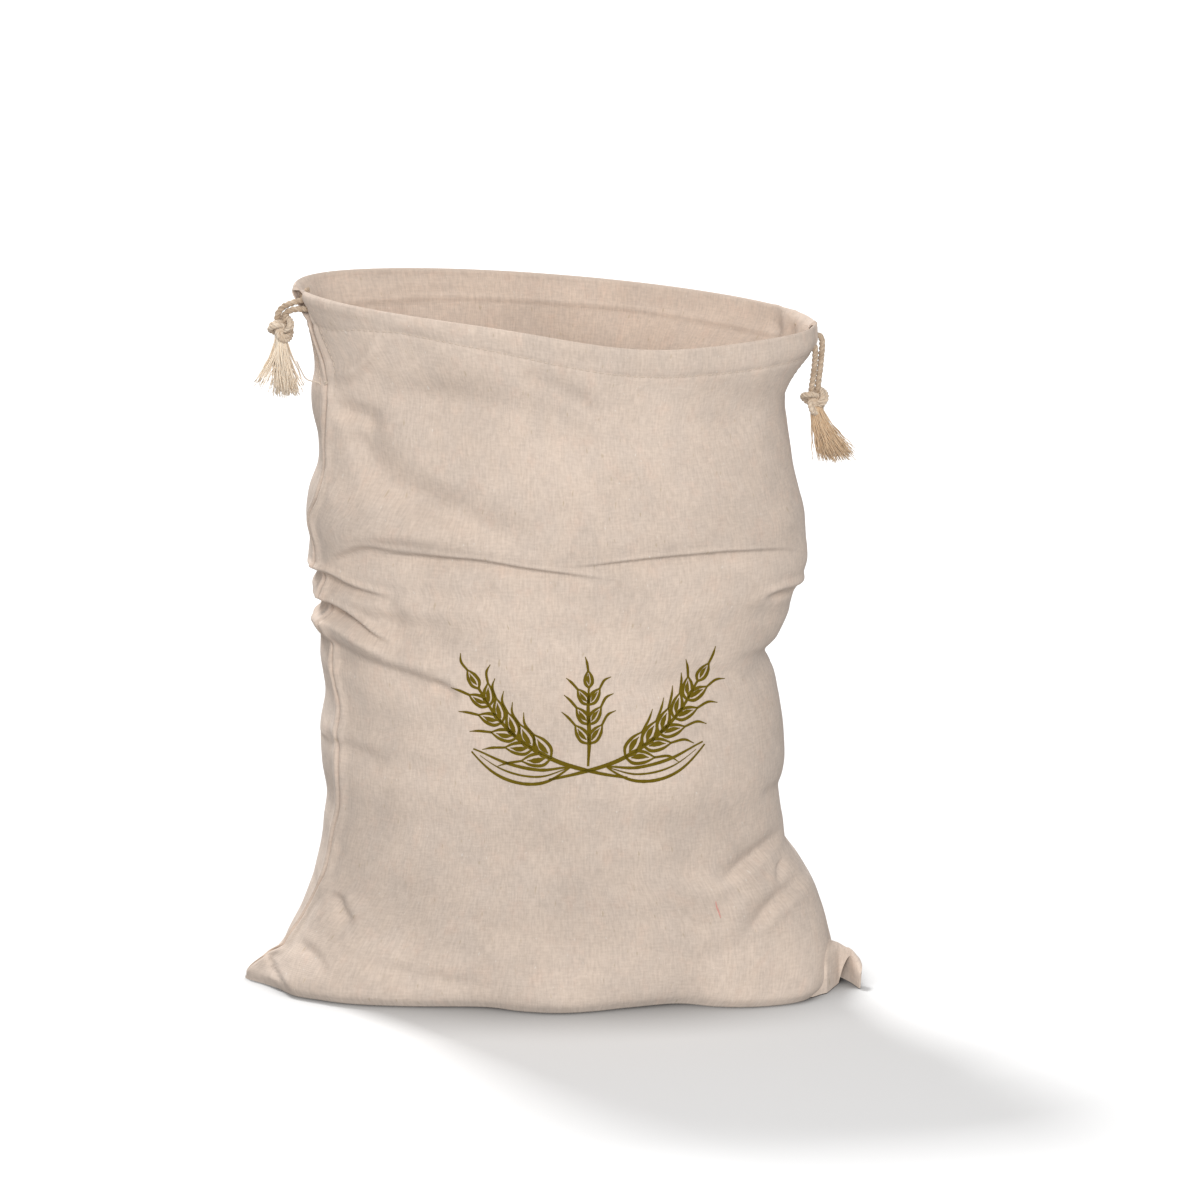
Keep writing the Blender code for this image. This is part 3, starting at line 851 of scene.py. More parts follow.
# Creases: on the front as x,y in the frame, at the back as x,z in mm. Then depth, width, lip, gentle and fade.
CREASES = (
    # long shelves across the middle
    Crease(F, "372,553 400,556 433,558 480,562 514,568 541,572 577,577 600,580 622,583", 2.3, 0.95, 0.8, 4.0),
    Crease(F, "440,560 480,565 530,573 577,580", 0.5, 3.2, 0.6, 1.8),
    Crease(F, "566,569 600,566 625,563 660,559 700,555 740,552 781,551 812,552", 2.3, 0.9, 0.6, 5.0),
    Crease(F, "316,562 340,546 372,534 415,536 470,550", -3.4, 12.0, 0.0, 0.42),
    Crease(F, "328,569 343,558 367,549 395,553 433,557 473,562", 1.5, 1.4, 0.8, 4.0),
    # rolls at the left side
    Crease(F, "308,566 318,568 332,576 350,587 370,594 396,602", 1.9, 1.5, 2.2, 2.0, Fade.END),
    Crease(F, "314,596 326,600 339,608 354,619 372,634 396,654", 2.4, 1.6, 2.6, 1.2, Fade.END),
    Crease(F, "320,610 338,624 356,636 374,646 394,656", -2.8, 2.8, 0.0, 1.0, Fade.END),
    Crease(F, "316,632 334,647 358,660 384,670 413,679 440,687 464,692", 4.0, 4.2, 2.4, 2.4, Fade.END),
    Crease(F, "430,682 444,688 452,694 456,704", 2.4, 2.8, 0.8, 1.5),
    Crease(F, "384,596 394,612 392,632", 1.4, 5.0, 0.5),
    Crease(F, "372,636 412,644 466,636", 3.6, 11.0, 0.0, 0.7),
    # left side seam and the dent beside it
    Crease(F, "337,742 352,748 372,756 392,764", 0.9, 3.2, 0.6, 1.4, Fade.END),
    Crease(F, "330,662 342,664 356,668", 1.2, 3.0, 0.6),
    Crease(F, "398,782 384,806 372,830", 0.9, 4.5, 0.5),
    Crease(F, "330,752 368,758 410,766 460,782", 1.7, 7.5, 0.0, 0.9),
    # above the left corner
    Crease(F, "336,890 338,903 343,914 352,928", 3.0, 3.2, 0.9, 1.2),
    Crease(F, "296,940 312,951 320,961 326,973", 1.2, 2.8, 0.5),
    Crease(F, "350,958 380,966 420,975 470,984 510,988", 1.0, 4.0, 0.6),
    Crease(F, "318,868 313,890 305,906 292,930", 1.2, 2.6, 0.7),
    # above the right corner
    Crease(F, "781,822 775,837 763,849 747,862 732,874 716,886", 3.2, 2.7, 1.0, 1.9),
    Crease(F, "786,849 782,862 781,872 783,884", 2.4, 1.9),
    Crease(F, "812,872 799,884 783,896 769,909 758,921 740,933", 3.0, 2.7, 0.9, 1.8),
    Crease(F, "744,878 728,900 716,920", 0.8, 4.0, 0.5),
    Crease(F, "690,960 730,950 770,938", 0.8, 5.0, 0.5),
    # right side dents
    Crease(F, "768,646 756,652 742,656 722,656", 0.6, 3.0, 0.4, 1.0, Fade.END),
    Crease(F, "785,786 772,789 758,796", 1.2, 3.4, 0.6, 1.0, Fade.END),
    Crease(F, "764,600 780,593 796,588 814,587", 2.8, 1.8, 2.0, 1.5, Fade.START),
    # soft folds of the upper part
    Crease(F, "380,336 374,354 356,371 328,381", -3.2, 3.4, 0.0),
    Crease(F, "331,415 346,416 362,421 380,436", 4.4, 8.0, 0.0, 0.5),
    Crease(F, "328,400 343,414 354,430 364,452 379,476 403,496 441,514 490,531 560,556", 6.2, 12.5, 1.0, 0.5),
    Crease(F, "331,424 333,460 335,495 335,530", -1.0, 4.2),
    Crease(F, "352,388 420,404 480,416 545,430 610,448", 6.0, 12.5, 0.0, 2.0),
    Crease(F, "516,376 552,388 580,404 606,424", 1.7, 5.0, 0.8, 1.0),
    Crease(F, "640,520 690,474 730,432 756,396", 1.2, 9.0, 0.6, 1.0),
    Crease(F, "600,360 606,400 604,440", -0.9, 8.0),
    Crease(F, "690,392 730,398 770,408", 0.8, 6.0, 0.5),
    Crease(F, "470,596 500,612 540,622", 0.8, 7.0, 0.5),
    # back panel
    Crease(B, "-112,214 -70,221 -30,223 20,219 62,211", 3.4, 3.2, 2.4, 2.2),
    Crease(B, "112,228 70,226 40,221", 2.8, 3.0, 1.8, 1.8),
    Crease(B, "-110,188 -88,182 -64,174 -40,168", 3.0, 3.4, 1.6, 1.6, Fade.END),
    Crease(B, "110,178 88,172 64,162 40,154", 2.6, 3.4, 1.4, 1.6, Fade.END),
    Crease(B, "108,64 86,54 62,38 44,30", 2.8, 4.0, 1.2),
    Crease(B, "-110,60 -92,46 -74,36", 2.4, 3.8, 1.0),
    Crease(B, "96,193 110,196 126,197", 2.8, 1.8, 2.0, 1.5, Fade.START),
    Crease(B, "-96,300 -90,280 -84,256", 1.6, 7.0, 0.6),
    Crease(B, "-20,300 6,286 30,270", 1.2, 6.0, 0.7),
    Crease(B, "64,300 72,276 70,250", 1.4, 7.0, 0.6),
    Crease(B, "-50,120 -20,110 20,108", 1.0, 7.0, 0.7),
    Crease(B, "112,338 109,326 108,312", -2.8, 1.7, 0.0),
    Crease(B, "121,336 117,326 114,314", -2.2, 1.5, 0.0),
)

# Swellings and hollows: x, z, half width, half height and how far out, in mm.
SWELLS = tuple(Swell(*row) for row in (
    (F, 60, 276, 42, 42, 1.0), (F, -4, 246, 40, 30, 0.6), (F, -34, 306, 46, 13, -1.6), (F, 84, 168, 14, 9, 3.6),
    (F, 84, 250, 30, 30, 1.8), (F, -84, 246, 26, 22, 1.8), (F, -62, 132, 40, 40, 1.8),
    (F, 62, 112, 36, 34, 1.8), (F, 6, 78, 34, 24, -2.2), (F, 68, 106, 24, 18, 1.6), (F, 92, 148, 26, 30, 1.8),
    (F, -92, 92, 28, 28, 1.6), (F, 40, 190, 34, 26, 1.2), (F, -40, 196, 30, 22, 1.2),
    (F, -84, 107, 20, 13, 1.4),
    (B, -44, 268, 44, 44, 2.4), (B, 52, 262, 42, 42, 2.0), (B, 0, 130, 52, 52, 2.2),
    (B, 74, 96, 34, 34, 1.8), (B, -76, 110, 34, 34, 1.8), (B, -30, 5, 26, 9, 2.2), (B, 46, 5, 24, 9, -2.0),
))

# The groove between the left corner and the body, as x,z in mm.
EAR_GROOVE = Crease(F, "-133,18 -138,13 -137,9 -132.5,4.5 -127,1", 3.4, 1.7, 1.0)

# How far the front's foot stands ahead of its oval, by degrees round from the left seam.
FOOT_FRONT = (
    (0, 2.0), (7, 11.0), (11.5, 16.0), (18, 14.0), (27, 11.0), (38, 10.0), (54, 6.0), (74, 0.5), (83, 7.0),
    (91, 10.0), (99, 7.0), (106, 2.0), (117, -2.0), (127, 8.0), (139, 15.0), (155, 18.0), (166, 12.0), (180, 0.0),
)

# How far below the rim the casing is stitched, by x.
CASING_FRONT = (
    (-128, 16.5), (-108, 15.0), (-94, 11.0), (-75, 8.6), (-55, 9.6), (-35, 10.6), (0, 12.4), (40, 13.4), (90, 14.0),
    (130, 14.0),
)
CASING_BACK = ((-128, 15.5), (-60, 13.6), (0, 13.0), (60, 13.6), (130, 14.5))

# Millimetres of cloth for each radian round from a seam: in the casing, over the seam and beside a slit.
ARC_CASING, ARC_SEAM, ARC_SLIT = 57.0, 60.0, 58.0


@dataclass
class BagShape:
    """The standing bag as a skin over angle and height: 0 is the left seam, half a turn the right one."""

    rim: float = 340.0
    rim_tilt: float = 10.0
    rim_half: float = 126.0
    tilt_from: float = 230.0
    sag: float = 7.0
    sag_x: float = 50.0
    sag_width: float = 58.0
    cloth: float = 0.9
    casing_cloth: float = 1.7
    cord_room: float = 2.5
    puff: float = 2.3
    puff_arc: float = 21.0
    puff_fade: float = 9.0
    puff_high: float = 15.0
    roll: float = 1.3
    tube: float = 0.40
    stitched: float = 0.42
    pull: float = 0.14
    pull_every: float = 10.5
    seam_ridge: float = 1.7
    seam_edge: float = 1.7
    seam_round: float = 2.3
    seam_valley: float = 1.5
    slit_valley: float = 0.3
    slit_fold: float = 0.35
    slit_fold_wide: float = 5.2
    slit_stitch_at: float = 6.4
    slit_foot: tuple[float, float] = (299.0, 301.0)
    slit_wide: float = 7.4
    foot_high: float = 17.0
    ear_reach: float = 20.5
    ear_high: float = 20.0
    ear_round: float = 0.125
    ear_flat: float = 0.55
    groove_high: float = 26.0
    view: FrontView = field(default_factory=FrontView)

    def __post_init__(self) -> None:
        """Places the creases, the corner's groove and the line of the foot once."""
        self.lines = []
        for crease in CREASES:
            seen = crease.side is Side.FRONT
            line = spline(self.view.places(crease.line, self), 4.0) if seen else points_of(crease.line)
            self.lines.append((crease, line))
        self.groove = points_of(EAR_GROOVE.line)
        self.foot = spline([(angle, ahead, 0.0) for angle, ahead in FOOT_FRONT], 1.0)

    def section(self, h: Array) -> dict[str, Array]:
        """Reads the section off its table, through the rows without corners.

        Args:
            h: heights along the cloth.

        Returns:
            Each of the section's measures at those heights.
        """
        table = SECTIONS
        h = np.asarray(h, float)
        k = np.clip(np.searchsorted(table[:, 0], h, side="right") - 1, 0, len(table) - 2)
        a, b = table[k], table[k + 1]
        before, after = table[np.maximum(k - 1, 0)], table[np.minimum(k + 2, len(table) - 1)]
        span = (b[..., 0] - a[..., 0])[..., None]
        t = np.clip((h[..., None] - a[..., :1]) / span, 0.0, 1.0)
        leaving = (b - before) / (b[..., :1] - before[..., :1]) * span
        coming = (after - a) / (after[..., :1] - a[..., :1]) * span
        made = (2 * t**3 - 3 * t**2 + 1) * a + (t**3 - 2 * t**2 + t) * leaving
        made = made + (3 * t**2 - 2 * t**3) * b + (t**3 - t**2) * coming
        return {name: made[..., i + 1] for i, name in enumerate(SECTION_NAMES)}

    def folds(self, side: Side, x: Array, z: Array) -> Array:
        """All creases and swellings of one side.

        Args:
            side: which side.
            x: places across.
            z: places up.

        Returns:
            How far they move the cloth outwards at each place.
        """
        made = np.zeros(x.shape)
        for crease, line in self.lines:
            if crease.side is not side:
                continue
            reach = crease.reach()
            low, high = line.min(axis=0) - reach, line.max(axis=0) + reach
            near = (x > low[0]) & (x < high[0]) & (z > low[1]) & (z < high[1])
            if near.any():
                made[near] += crease.push(x[near], z[near], line)
        for s in SWELLS:
            if s.side is side:
                made += s.out * bell((x - s.x) / s.wide) * bell((z - s.z) / s.high)
        seed = 11 if side is Side.FRONT else 23
        made += 0.46 * ripples(x, z, seed, 36.0, 1.1) + 0.05 * ripples(x, z, seed + 1, 12.0, 0.8)
        return made

    def below_rim(self, h: Array) -> Array:
        """Distance down from the rim along the cloth."""
        return self.rim - h

    def puffed(self, phi: Array, h: Array) -> Array:
        """How much the casing swells round a cord.

        Args:
            phi: angles round the bag.
            h: heights along the cloth.

        Returns:
            The swelling at each place, from 0 to 1.
        """
        near = np.abs(turned_in(2 * phi)) / 2 * ARC_CASING
        across = np.clip((h - (self.rim - self.puff_high)) / self.puff_high, 0.0, 1.0)
        return smooth((self.puff_arc + self.puff_fade - near) / self.puff_fade) * np.sin(math.pi * across) ** 0.6

    def thickness(self, phi: Array, h: Array, x: Array) -> Array:
        """How thick the cloth is, with its casing and the cord in it."""
        doubled = smooth((self.casing_depth(phi, x) + 1.2 - self.below_rim(h)) / 0.8)
        return self.cloth + (self.casing_cloth - self.cloth) * doubled + self.cord_room * self.puffed(phi, h)

    def casing_depth(self, phi: Array, x: Array) -> Array:
        """How far below the rim the casing's stitch line runs."""
        share = smooth(0.5 + np.sin(phi) * 2.0)
        return share * read_off(CASING_FRONT, x) + (1 - share) * read_off(CASING_BACK, x)

    def seam_shape(self, phi: Array, h: Array) -> Array:
        """Outward shape at the side seams: a narrow valley between two rounded edges.

        Args:
            phi: angles round the bag.
            h: heights along the cloth.

        Returns:
            How far it moves the cloth outwards at each place.
        """
        made = np.zeros(np.broadcast(phi, h).shape)
        for k, foot in enumerate(self.slit_foot):
            off = turned_in(phi - k * math.pi) * ARC_SEAM
            sewn = smooth((foot + 2.0 - h) / 6.0)
            edge = self.seam_ridge * bell((np.abs(off) - self.seam_edge) / self.seam_round)
            valley = (self.seam_valley * sewn + self.slit_valley) * bell(off / 0.75)
            made += (edge * (0.45 + 0.55 * sewn) - valley) * smooth(h / 8.0)
            folded = self.slit_fold * smooth((self.slit_fold_wide - np.abs(off)) / 1.2)
            stitched = self.slit_fold * bell((np.abs(off) - self.slit_stitch_at) / 0.7)
            made += smooth((h - foot) / 6.0) * (folded - stitched)
        return made

    def casing_shape(self, phi: Array, h: Array, x: Array) -> Array:
        """Outward shape of the casing: a rolled rim, a puffed tube and the pull of its stitches.

        Args:
            phi: angles round the bag.
            h: heights along the cloth.
            x: places across.

        Returns:
            How far it moves the cloth outwards at each place.
        """
        down = self.below_rim(h)
        line = self.casing_depth(phi, x)
        roll = (self.roll - 0.006 * (x + 120.0)) * bell((down - 3.0) / 3.2) * smooth(down / 1.6 + 0.3)
        tube = self.tube * bell((down - 0.62 * line) / (0.30 * line))
        stitched = -self.stitched * bell((down - line) / 1.2)
        wave = np.sin(math.tau * x / self.pull_every + 2.3 * np.sin(x / 13.0) + 2.0 * np.sin(phi))
        return roll + tube + stitched + self.pull * wave * bell((down - line) / 6.0)

    def skin(self, phi: Array, h: Array, inset: Array | float = 0.0, outer: bool = True) -> Array:
        """Points of the cloth, inset from its outer face.

        Args:
            phi: angles round the bag.
            h: heights along the cloth.
            inset: how far inside the outer face.
            outer: whether seams, corners and the casing's own shape show, as on the outer face.

        Returns:
            One row of x, y and z for each place.
        """
        phi, h = np.broadcast_arrays(np.asarray(phi, float), np.asarray(h, float))
        s = self.section(h)
        c = np.cos(phi)
        turned = s["turn_left"] * np.maximum(c, 0.0) ** 3 + s["turn_right"] * np.maximum(-c, 0.0) ** 3
        ca, sa = np.cos(phi + np.radians(turned)), np.sin(phi + np.radians(turned))
        in_front = sa > 0
        a = np.where(ca > 0, s["left"], s["right"]) - inset
        b = np.where(in_front, s["front"], s["back"]) - inset
        x, y = -a * ca, -np.copysign(b * np.abs(sa) ** s["tip"], sa)
        ahead = np.interp(np.degrees(np.abs(phi)), self.foot[:, 0], self.foot[:, 1])
        y = y - np.where(in_front, ahead, 0.0) * bell(np.maximum(h, 0.0) / self.foot_high)
        normal = unit(np.stack([x / a**2, y / b**2], axis=-1))
        lean = smooth((h - self.tilt_from) / (self.rim - self.tilt_from))
        sagged = self.sag * bell((x - self.sag_x) / self.sag_width) * np.maximum(sa, 0.0) * lean
        z = h - x / self.rim_half * self.rim_tilt * lean - sagged
        front, back = self.folds(Side.FRONT, x, z), self.folds(Side.BACK, x, z)
        share = smooth(np.abs(sa) / 0.22) * 0.5 + 0.5
        out = np.where(in_front, share * front + (1 - share) * back, share * back + (1 - share) * front)
        out = out * smooth((h + 2.0) / 9.0) * (1.0 - 0.75 * smooth((h - self.rim + 12.0) / 9.0))
        casing = self.casing_shape(phi, h, x)
        if outer:
            out = out + self.seam_shape(phi, h) + 0.25 * self.puff * self.puffed(phi, h) + casing
            near = bell(turned_in(phi) / self.ear_round)
            low = np.clip(1.0 - h / self.ear_high, 0.0, 1.0)
            x = x - self.ear_reach * low * near
            y = y * (1.0 - self.ear_flat * near * smooth(low * 1.5))
            groove = EAR_GROOVE.push(x, z, self.groove) * smooth((self.groove_high - h) / 6.0)
            y = y - np.where(in_front & (h < self.groove_high), groove, 0.0)
        else:
            out = out + 0.6 * casing
        return np.stack([x + normal[..., 0] * out, y + normal[..., 1] * out, z], axis=-1)


# ------------------------------------------------------------------ pieces


@dataclass
class PanelGrid:
    """A panel's points and their numbers in its mesh: a fine outer face, a coarser inner one and the rim."""

    outside: Array
    inside: Array
    flat: Array
    first: int
    coarse: int
    few_rows: Array
    few: int
    lip: int


@dataclass
class ClothPanel:
    """One panel of the cloth, from the fold under the bag up to its casing."""

    shape: BagShape
    side: Side
    columns: int = 190
    rows: int = 350
    under_rows: int = 10
    under_long: float = 60.0
    shelves_at: float = 219.0
    casing_from: float = 320.0
    set_back: float = 4.2
    edge_skin: float = 0.62
    pocket: float = 6.0

    def angles(self) -> tuple[Array, Array]:
        """Angles of the columns from the left seam to the right one, closer together near the seams.

        Returns:
            The angles, and how far round the cloth each one is.
        """
        dense = np.linspace(0.0, math.pi, 1600)
        run = run_along(self.shape.skin(dense, np.full_like(dense, 200.0), outer=False))
        middle = 0.5 * (run[1:] + run[:-1])
        weight = 1.0 + 1.9 * (bell(middle / 8.0) + bell((run[-1] - middle) / 8.0))
        goal = np.concatenate([[0.0], np.cumsum(weight * np.diff(run))])
        arc = np.interp(np.linspace(0.0, goal[-1], self.columns + 1), goal, run)
        return np.interp(arc, run, dense), arc

    def heights(self) -> Array:
        """Heights of the rows, closer together at the foot, at the long shelves and in the casing.

        Returns:
            The heights, from the floor to the rim.
        """
        dense = np.linspace(0.0, self.shape.rim, 1400)
        weight = 1.0 + 0.5 * bell(dense / 16.0) + 0.5 * smooth((dense - self.casing_from) / 6.0)
        weight += 1.1 * bell((dense - self.shelves_at) / 13.0)
        goal = np.cumsum(weight) - weight[0]
        return np.interp(np.linspace(0.0, goal[-1], self.rows + 1), goal, dense)

    def spread(self, psi: Array, h: Array) -> Array:
        """Draws the columns apart at the slits.

        Args:
            psi: angles from the left seam.
            h: heights along the cloth.

        Returns:
            The new angles.
        """
        made = psi.copy()
        for k, away in enumerate((psi, math.pi - psi)):
            foot = self.shape.slit_foot[k]
            t = np.clip((h - foot) / (self.shape.rim - foot), 0.0, 1.0)
            half = 0.5 * self.shape.slit_wide * t**0.6 / ARC_SLIT
            if k == 0 and self.side is Side.FRONT:
                half = half + self.set_back * smooth((t - 0.5) / 0.5) / ARC_SLIT
            made = made + (1 - 2 * k) * half * np.exp(-away / 0.3)
        return made

    def under(self, foot: Array, other: Array, share: Array) -> Array:
        """The rows under the bag, lifted here and there off the floor.

        Args:
            foot: the panel's lowest row.
            other: the other panel's lowest row.
            share: how far each new row is from the fold in the middle to the foot.

        Returns:
            Their points.
        """
        middle = 0.5 * (foot + other)
        made = middle[None] * (1 - share[..., None]) + foot[None] * share[..., None]
        lift = 0.5 + 0.5 * ripples(made[..., 0], made[..., 1] * 2.0, 41, 40.0)
        fold = bell(made[..., 1] / 5.0) * (1.0 - share) ** 2
        inward, sideways = smooth((1.0 - share) * 3.0), smooth((128.0 - np.abs(made[..., 0])) / 30.0)
        made[..., 2] = 1.1 * np.maximum(lift, 0.0) * inward * sideways + 0.4 * fold
        return made

    def build(self, finish: bpy.types.Material) -> bpy.types.Object:
        """Builds the panel as a thin closed sheet.

        Args:
            finish: the linen.

        Returns:
            The piece.
        """
        shape, front = self.shape, self.side is Side.FRONT
        (psi, arc), h = self.angles(), self.heights()
        grid_psi, grid_h = np.meshgrid(psi, h)
        phi = self.side.value * self.spread(grid_psi, grid_h)
        outer = shape.skin(phi, grid_h)
        thick = shape.thickness(phi, grid_h, shape.skin(phi, grid_h, outer=False)[..., 0])
        inner = shape.skin(phi, np.maximum(grid_h, shape.cloth), thick, outer=False)
        inner[0, :, 2] = shape.cloth
        share = np.linspace(0.0, 1.0, self.under_rows + 1)[:-1, None]
        under = self.under(outer[0], shape.skin(-phi[0], grid_h[0]), share)
        outside = np.concatenate([under, outer])
        inside = np.concatenate([under + (0.0, 0.0, shape.cloth), inner])
        rows, columns = outside.shape[:2]
        up = np.concatenate([-self.under_long * (1.0 - share[:, 0]), h])
        flat = np.stack(np.meshgrid(arc + (0.0 if front else 420.0), up), axis=-1)

        mesh = Mesh()
        first = mesh.rows(outside, flat)
        mesh.grid(first, rows, columns, turned=not front)
        few_rows, few = np.arange(0, rows, 2), np.arange(0, columns, 2)
        coarse = mesh.rows(inside[few_rows][:, few], flat[few_rows][:, few] + (0.0, 900.0))
        mesh.grid(coarse, len(few_rows), len(few), turned=front)

        tip = 0.5 * (outside[-1] + inside[-1])
        tip[:, 2] += 0.42 * np.linalg.norm(outside[-1] - inside[-1], axis=1)
        lip = mesh.rows(tip, flat[-1] + (0.0, 1.0))
        top, top_in = first + (rows - 1) * columns, coarse + (len(few_rows) - 1) * len(few)
        for c in range(columns - 1):
            mesh.face((top + c, top + c + 1, lip + c + 1, lip + c), front)
        mesh.step_down(range(lip, lip + columns), range(top_in, top_in + len(few)), few, front)
        mesh.step_down(range(first, first + columns), range(coarse, coarse + len(few)), few, not front)
        grid = PanelGrid(outside, inside, flat, first, coarse, few_rows, len(few), lip)
        for end in (0, columns - 1):
            self.edge(mesh, grid, end)
        return mesh.build(f"cloth_{self.side.name.lower()}", finish, "flat", 62.0)

    def edge(self, mesh: Mesh, grid: PanelGrid, end: int) -> None:
        """Closes a side edge: flat where it is sewn, a rounded fold along the slit, and a mouth round the cord.

        Args:
            mesh: the panel's mesh.
            grid: where its points are.
            end: the edge's column.
        """
        at_left = end == 0
        kept = at_left == (self.side is Side.FRONT)
        rows, columns = grid.outside.shape[:2]
        out, inn, flat = grid.outside[:, end], grid.inside[:, end], grid.flat[:, end]
        along = unit(grid.outside[:, 6 if at_left else -7] - out)
        h = np.concatenate([np.zeros(self.under_rows), self.heights()])
        down = self.shape.below_rim(h)
        cuff = smooth((down - 1.6) / 1.2) * smooth((12.6 - down) / 1.4)
        slit = smooth((h - self.shape.slit_foot[0 if at_left else 1]) / 3.0)
        across = inn - out
        thick = np.linalg.norm(across, axis=1, keepdims=True)
        wall = np.minimum(self.edge_skin / np.maximum(thick, 1e-6), 0.30)
        lines = [range(grid.first + end, grid.first + rows * columns, columns)]
        for share, depth in ((wall, 0.0), (wall + 0.02, 1.0), (1.0 - wall - 0.02, 1.0), (1.0 - wall, 0.0)):
            round_out = -0.32 * thick * np.sin(math.pi * share)
            shift = (round_out * slit[:, None]) * (1 - cuff[:, None]) + self.pocket * depth * cuff[:, None]
            start = mesh.rows(out + across * share + along * shift, flat + (0.3 * (1 + depth), 0.0))
            lines.append(range(start, start + rows))
        for a, b in zip(lines, lines[1:]):
            for r in range(rows - 1):
                mesh.face((a[r], a[r + 1], b[r + 1], b[r]), kept)
        beside = grid.coarse + (0 if at_left else grid.few - 1)
        inner = [beside + k * grid.few for k in range(len(grid.few_rows))]
        mesh.step_down(lines[-1], inner, grid.few_rows, not kept)
        mesh.face(tuple(line[-1] for line in lines) + (inner[-1], grid.lip + end), kept)


@dataclass
class SurfaceMap:
    """Finds the cloth's outer face under places given as x and z on one side."""

    shape: BagShape
    side: Side = Side.FRONT
    turn: float = 0.004
    step_up: float = 0.25
    flattest: float = 8.0
    rounds: int = 14

    def place(self, x: Array, z: Array) -> tuple[Array, Array]:
        """Finds where on the cloth the places are.

        Args:
            x: places across.
            z: places up.

        Returns:
            The angle and the height along the cloth of each.
        """
        x, z = np.broadcast_arrays(np.asarray(x, float), np.asarray(z, float))
        phi, h = np.full(x.shape, 0.5 * math.pi * self.side.value), z.copy()
        for _ in range(self.rounds):
            here = self.shape.skin(phi, h)
            slope = (self.shape.skin(phi + self.turn, h)[..., 0] - here[..., 0]) / self.turn
            slope = np.where(np.abs(slope) < self.flattest, self.flattest * self.side.value, slope)
            phi = phi + np.clip((x - here[..., 0]) / slope, -0.2, 0.2)
            h = h + (z - here[..., 2])
        return phi, h

    def points(self, phi: Array, h: Array, lift: float = 0.0) -> Array:
        """Points that stand off the outer face.

        Args:
            phi: angles round the bag.
            h: heights along the cloth.
            lift: how far off it they are.

        Returns:
            One row of x, y and z for each place.
        """
        here = self.shape.skin(phi, h)
        across = self.shape.skin(phi + self.turn, h) - here
        up = self.shape.skin(phi, h + self.step_up) - here
        normal = unit(np.cross(across, up)) * self.side.value
        outward = np.sum(normal[..., :2] * here[..., :2], axis=-1, keepdims=True)
        return here + normal * np.where(outward < 0, -1.0, 1.0) * lift


@dataclass
class Stroke:
    """One brush stroke of the print: a line with a width at each point."""

    line: Array
    widths: Array

    def add(self, mesh: Mesh, onto: SurfaceMap, lift: float) -> None:
        """Lays the stroke on the cloth as a ribbon.

        Args:
            mesh: where it goes.
            onto: the cloth's face.
            lift: how far off it the ribbon is.
        """
        shares = np.linspace(-0.5, 0.5, 5)
        flat = self.line[:, None, :] + left_of(self.line)[:, None, :] * (self.widths[:, None] * shares)[..., None]
        phi, h = onto.place(flat[..., 0], flat[..., 1])
        first = mesh.rows(onto.points(phi, h, lift), flat)
        mesh.grid(first, len(self.line), len(shares))


# The print's right ear, from its middle: the stem and the spine of the leaf beside it.
STEM = ((-19.0, -30.5), (-3.0, -27.0), (15.0, -21.5), (31.0, -12.5), (44.0, -0.5), (53.0, 13.0))
LEAF = ((9.0, -24.6), (24.0, -29.0), (41.0, -26.0), (58.0, -15.5))


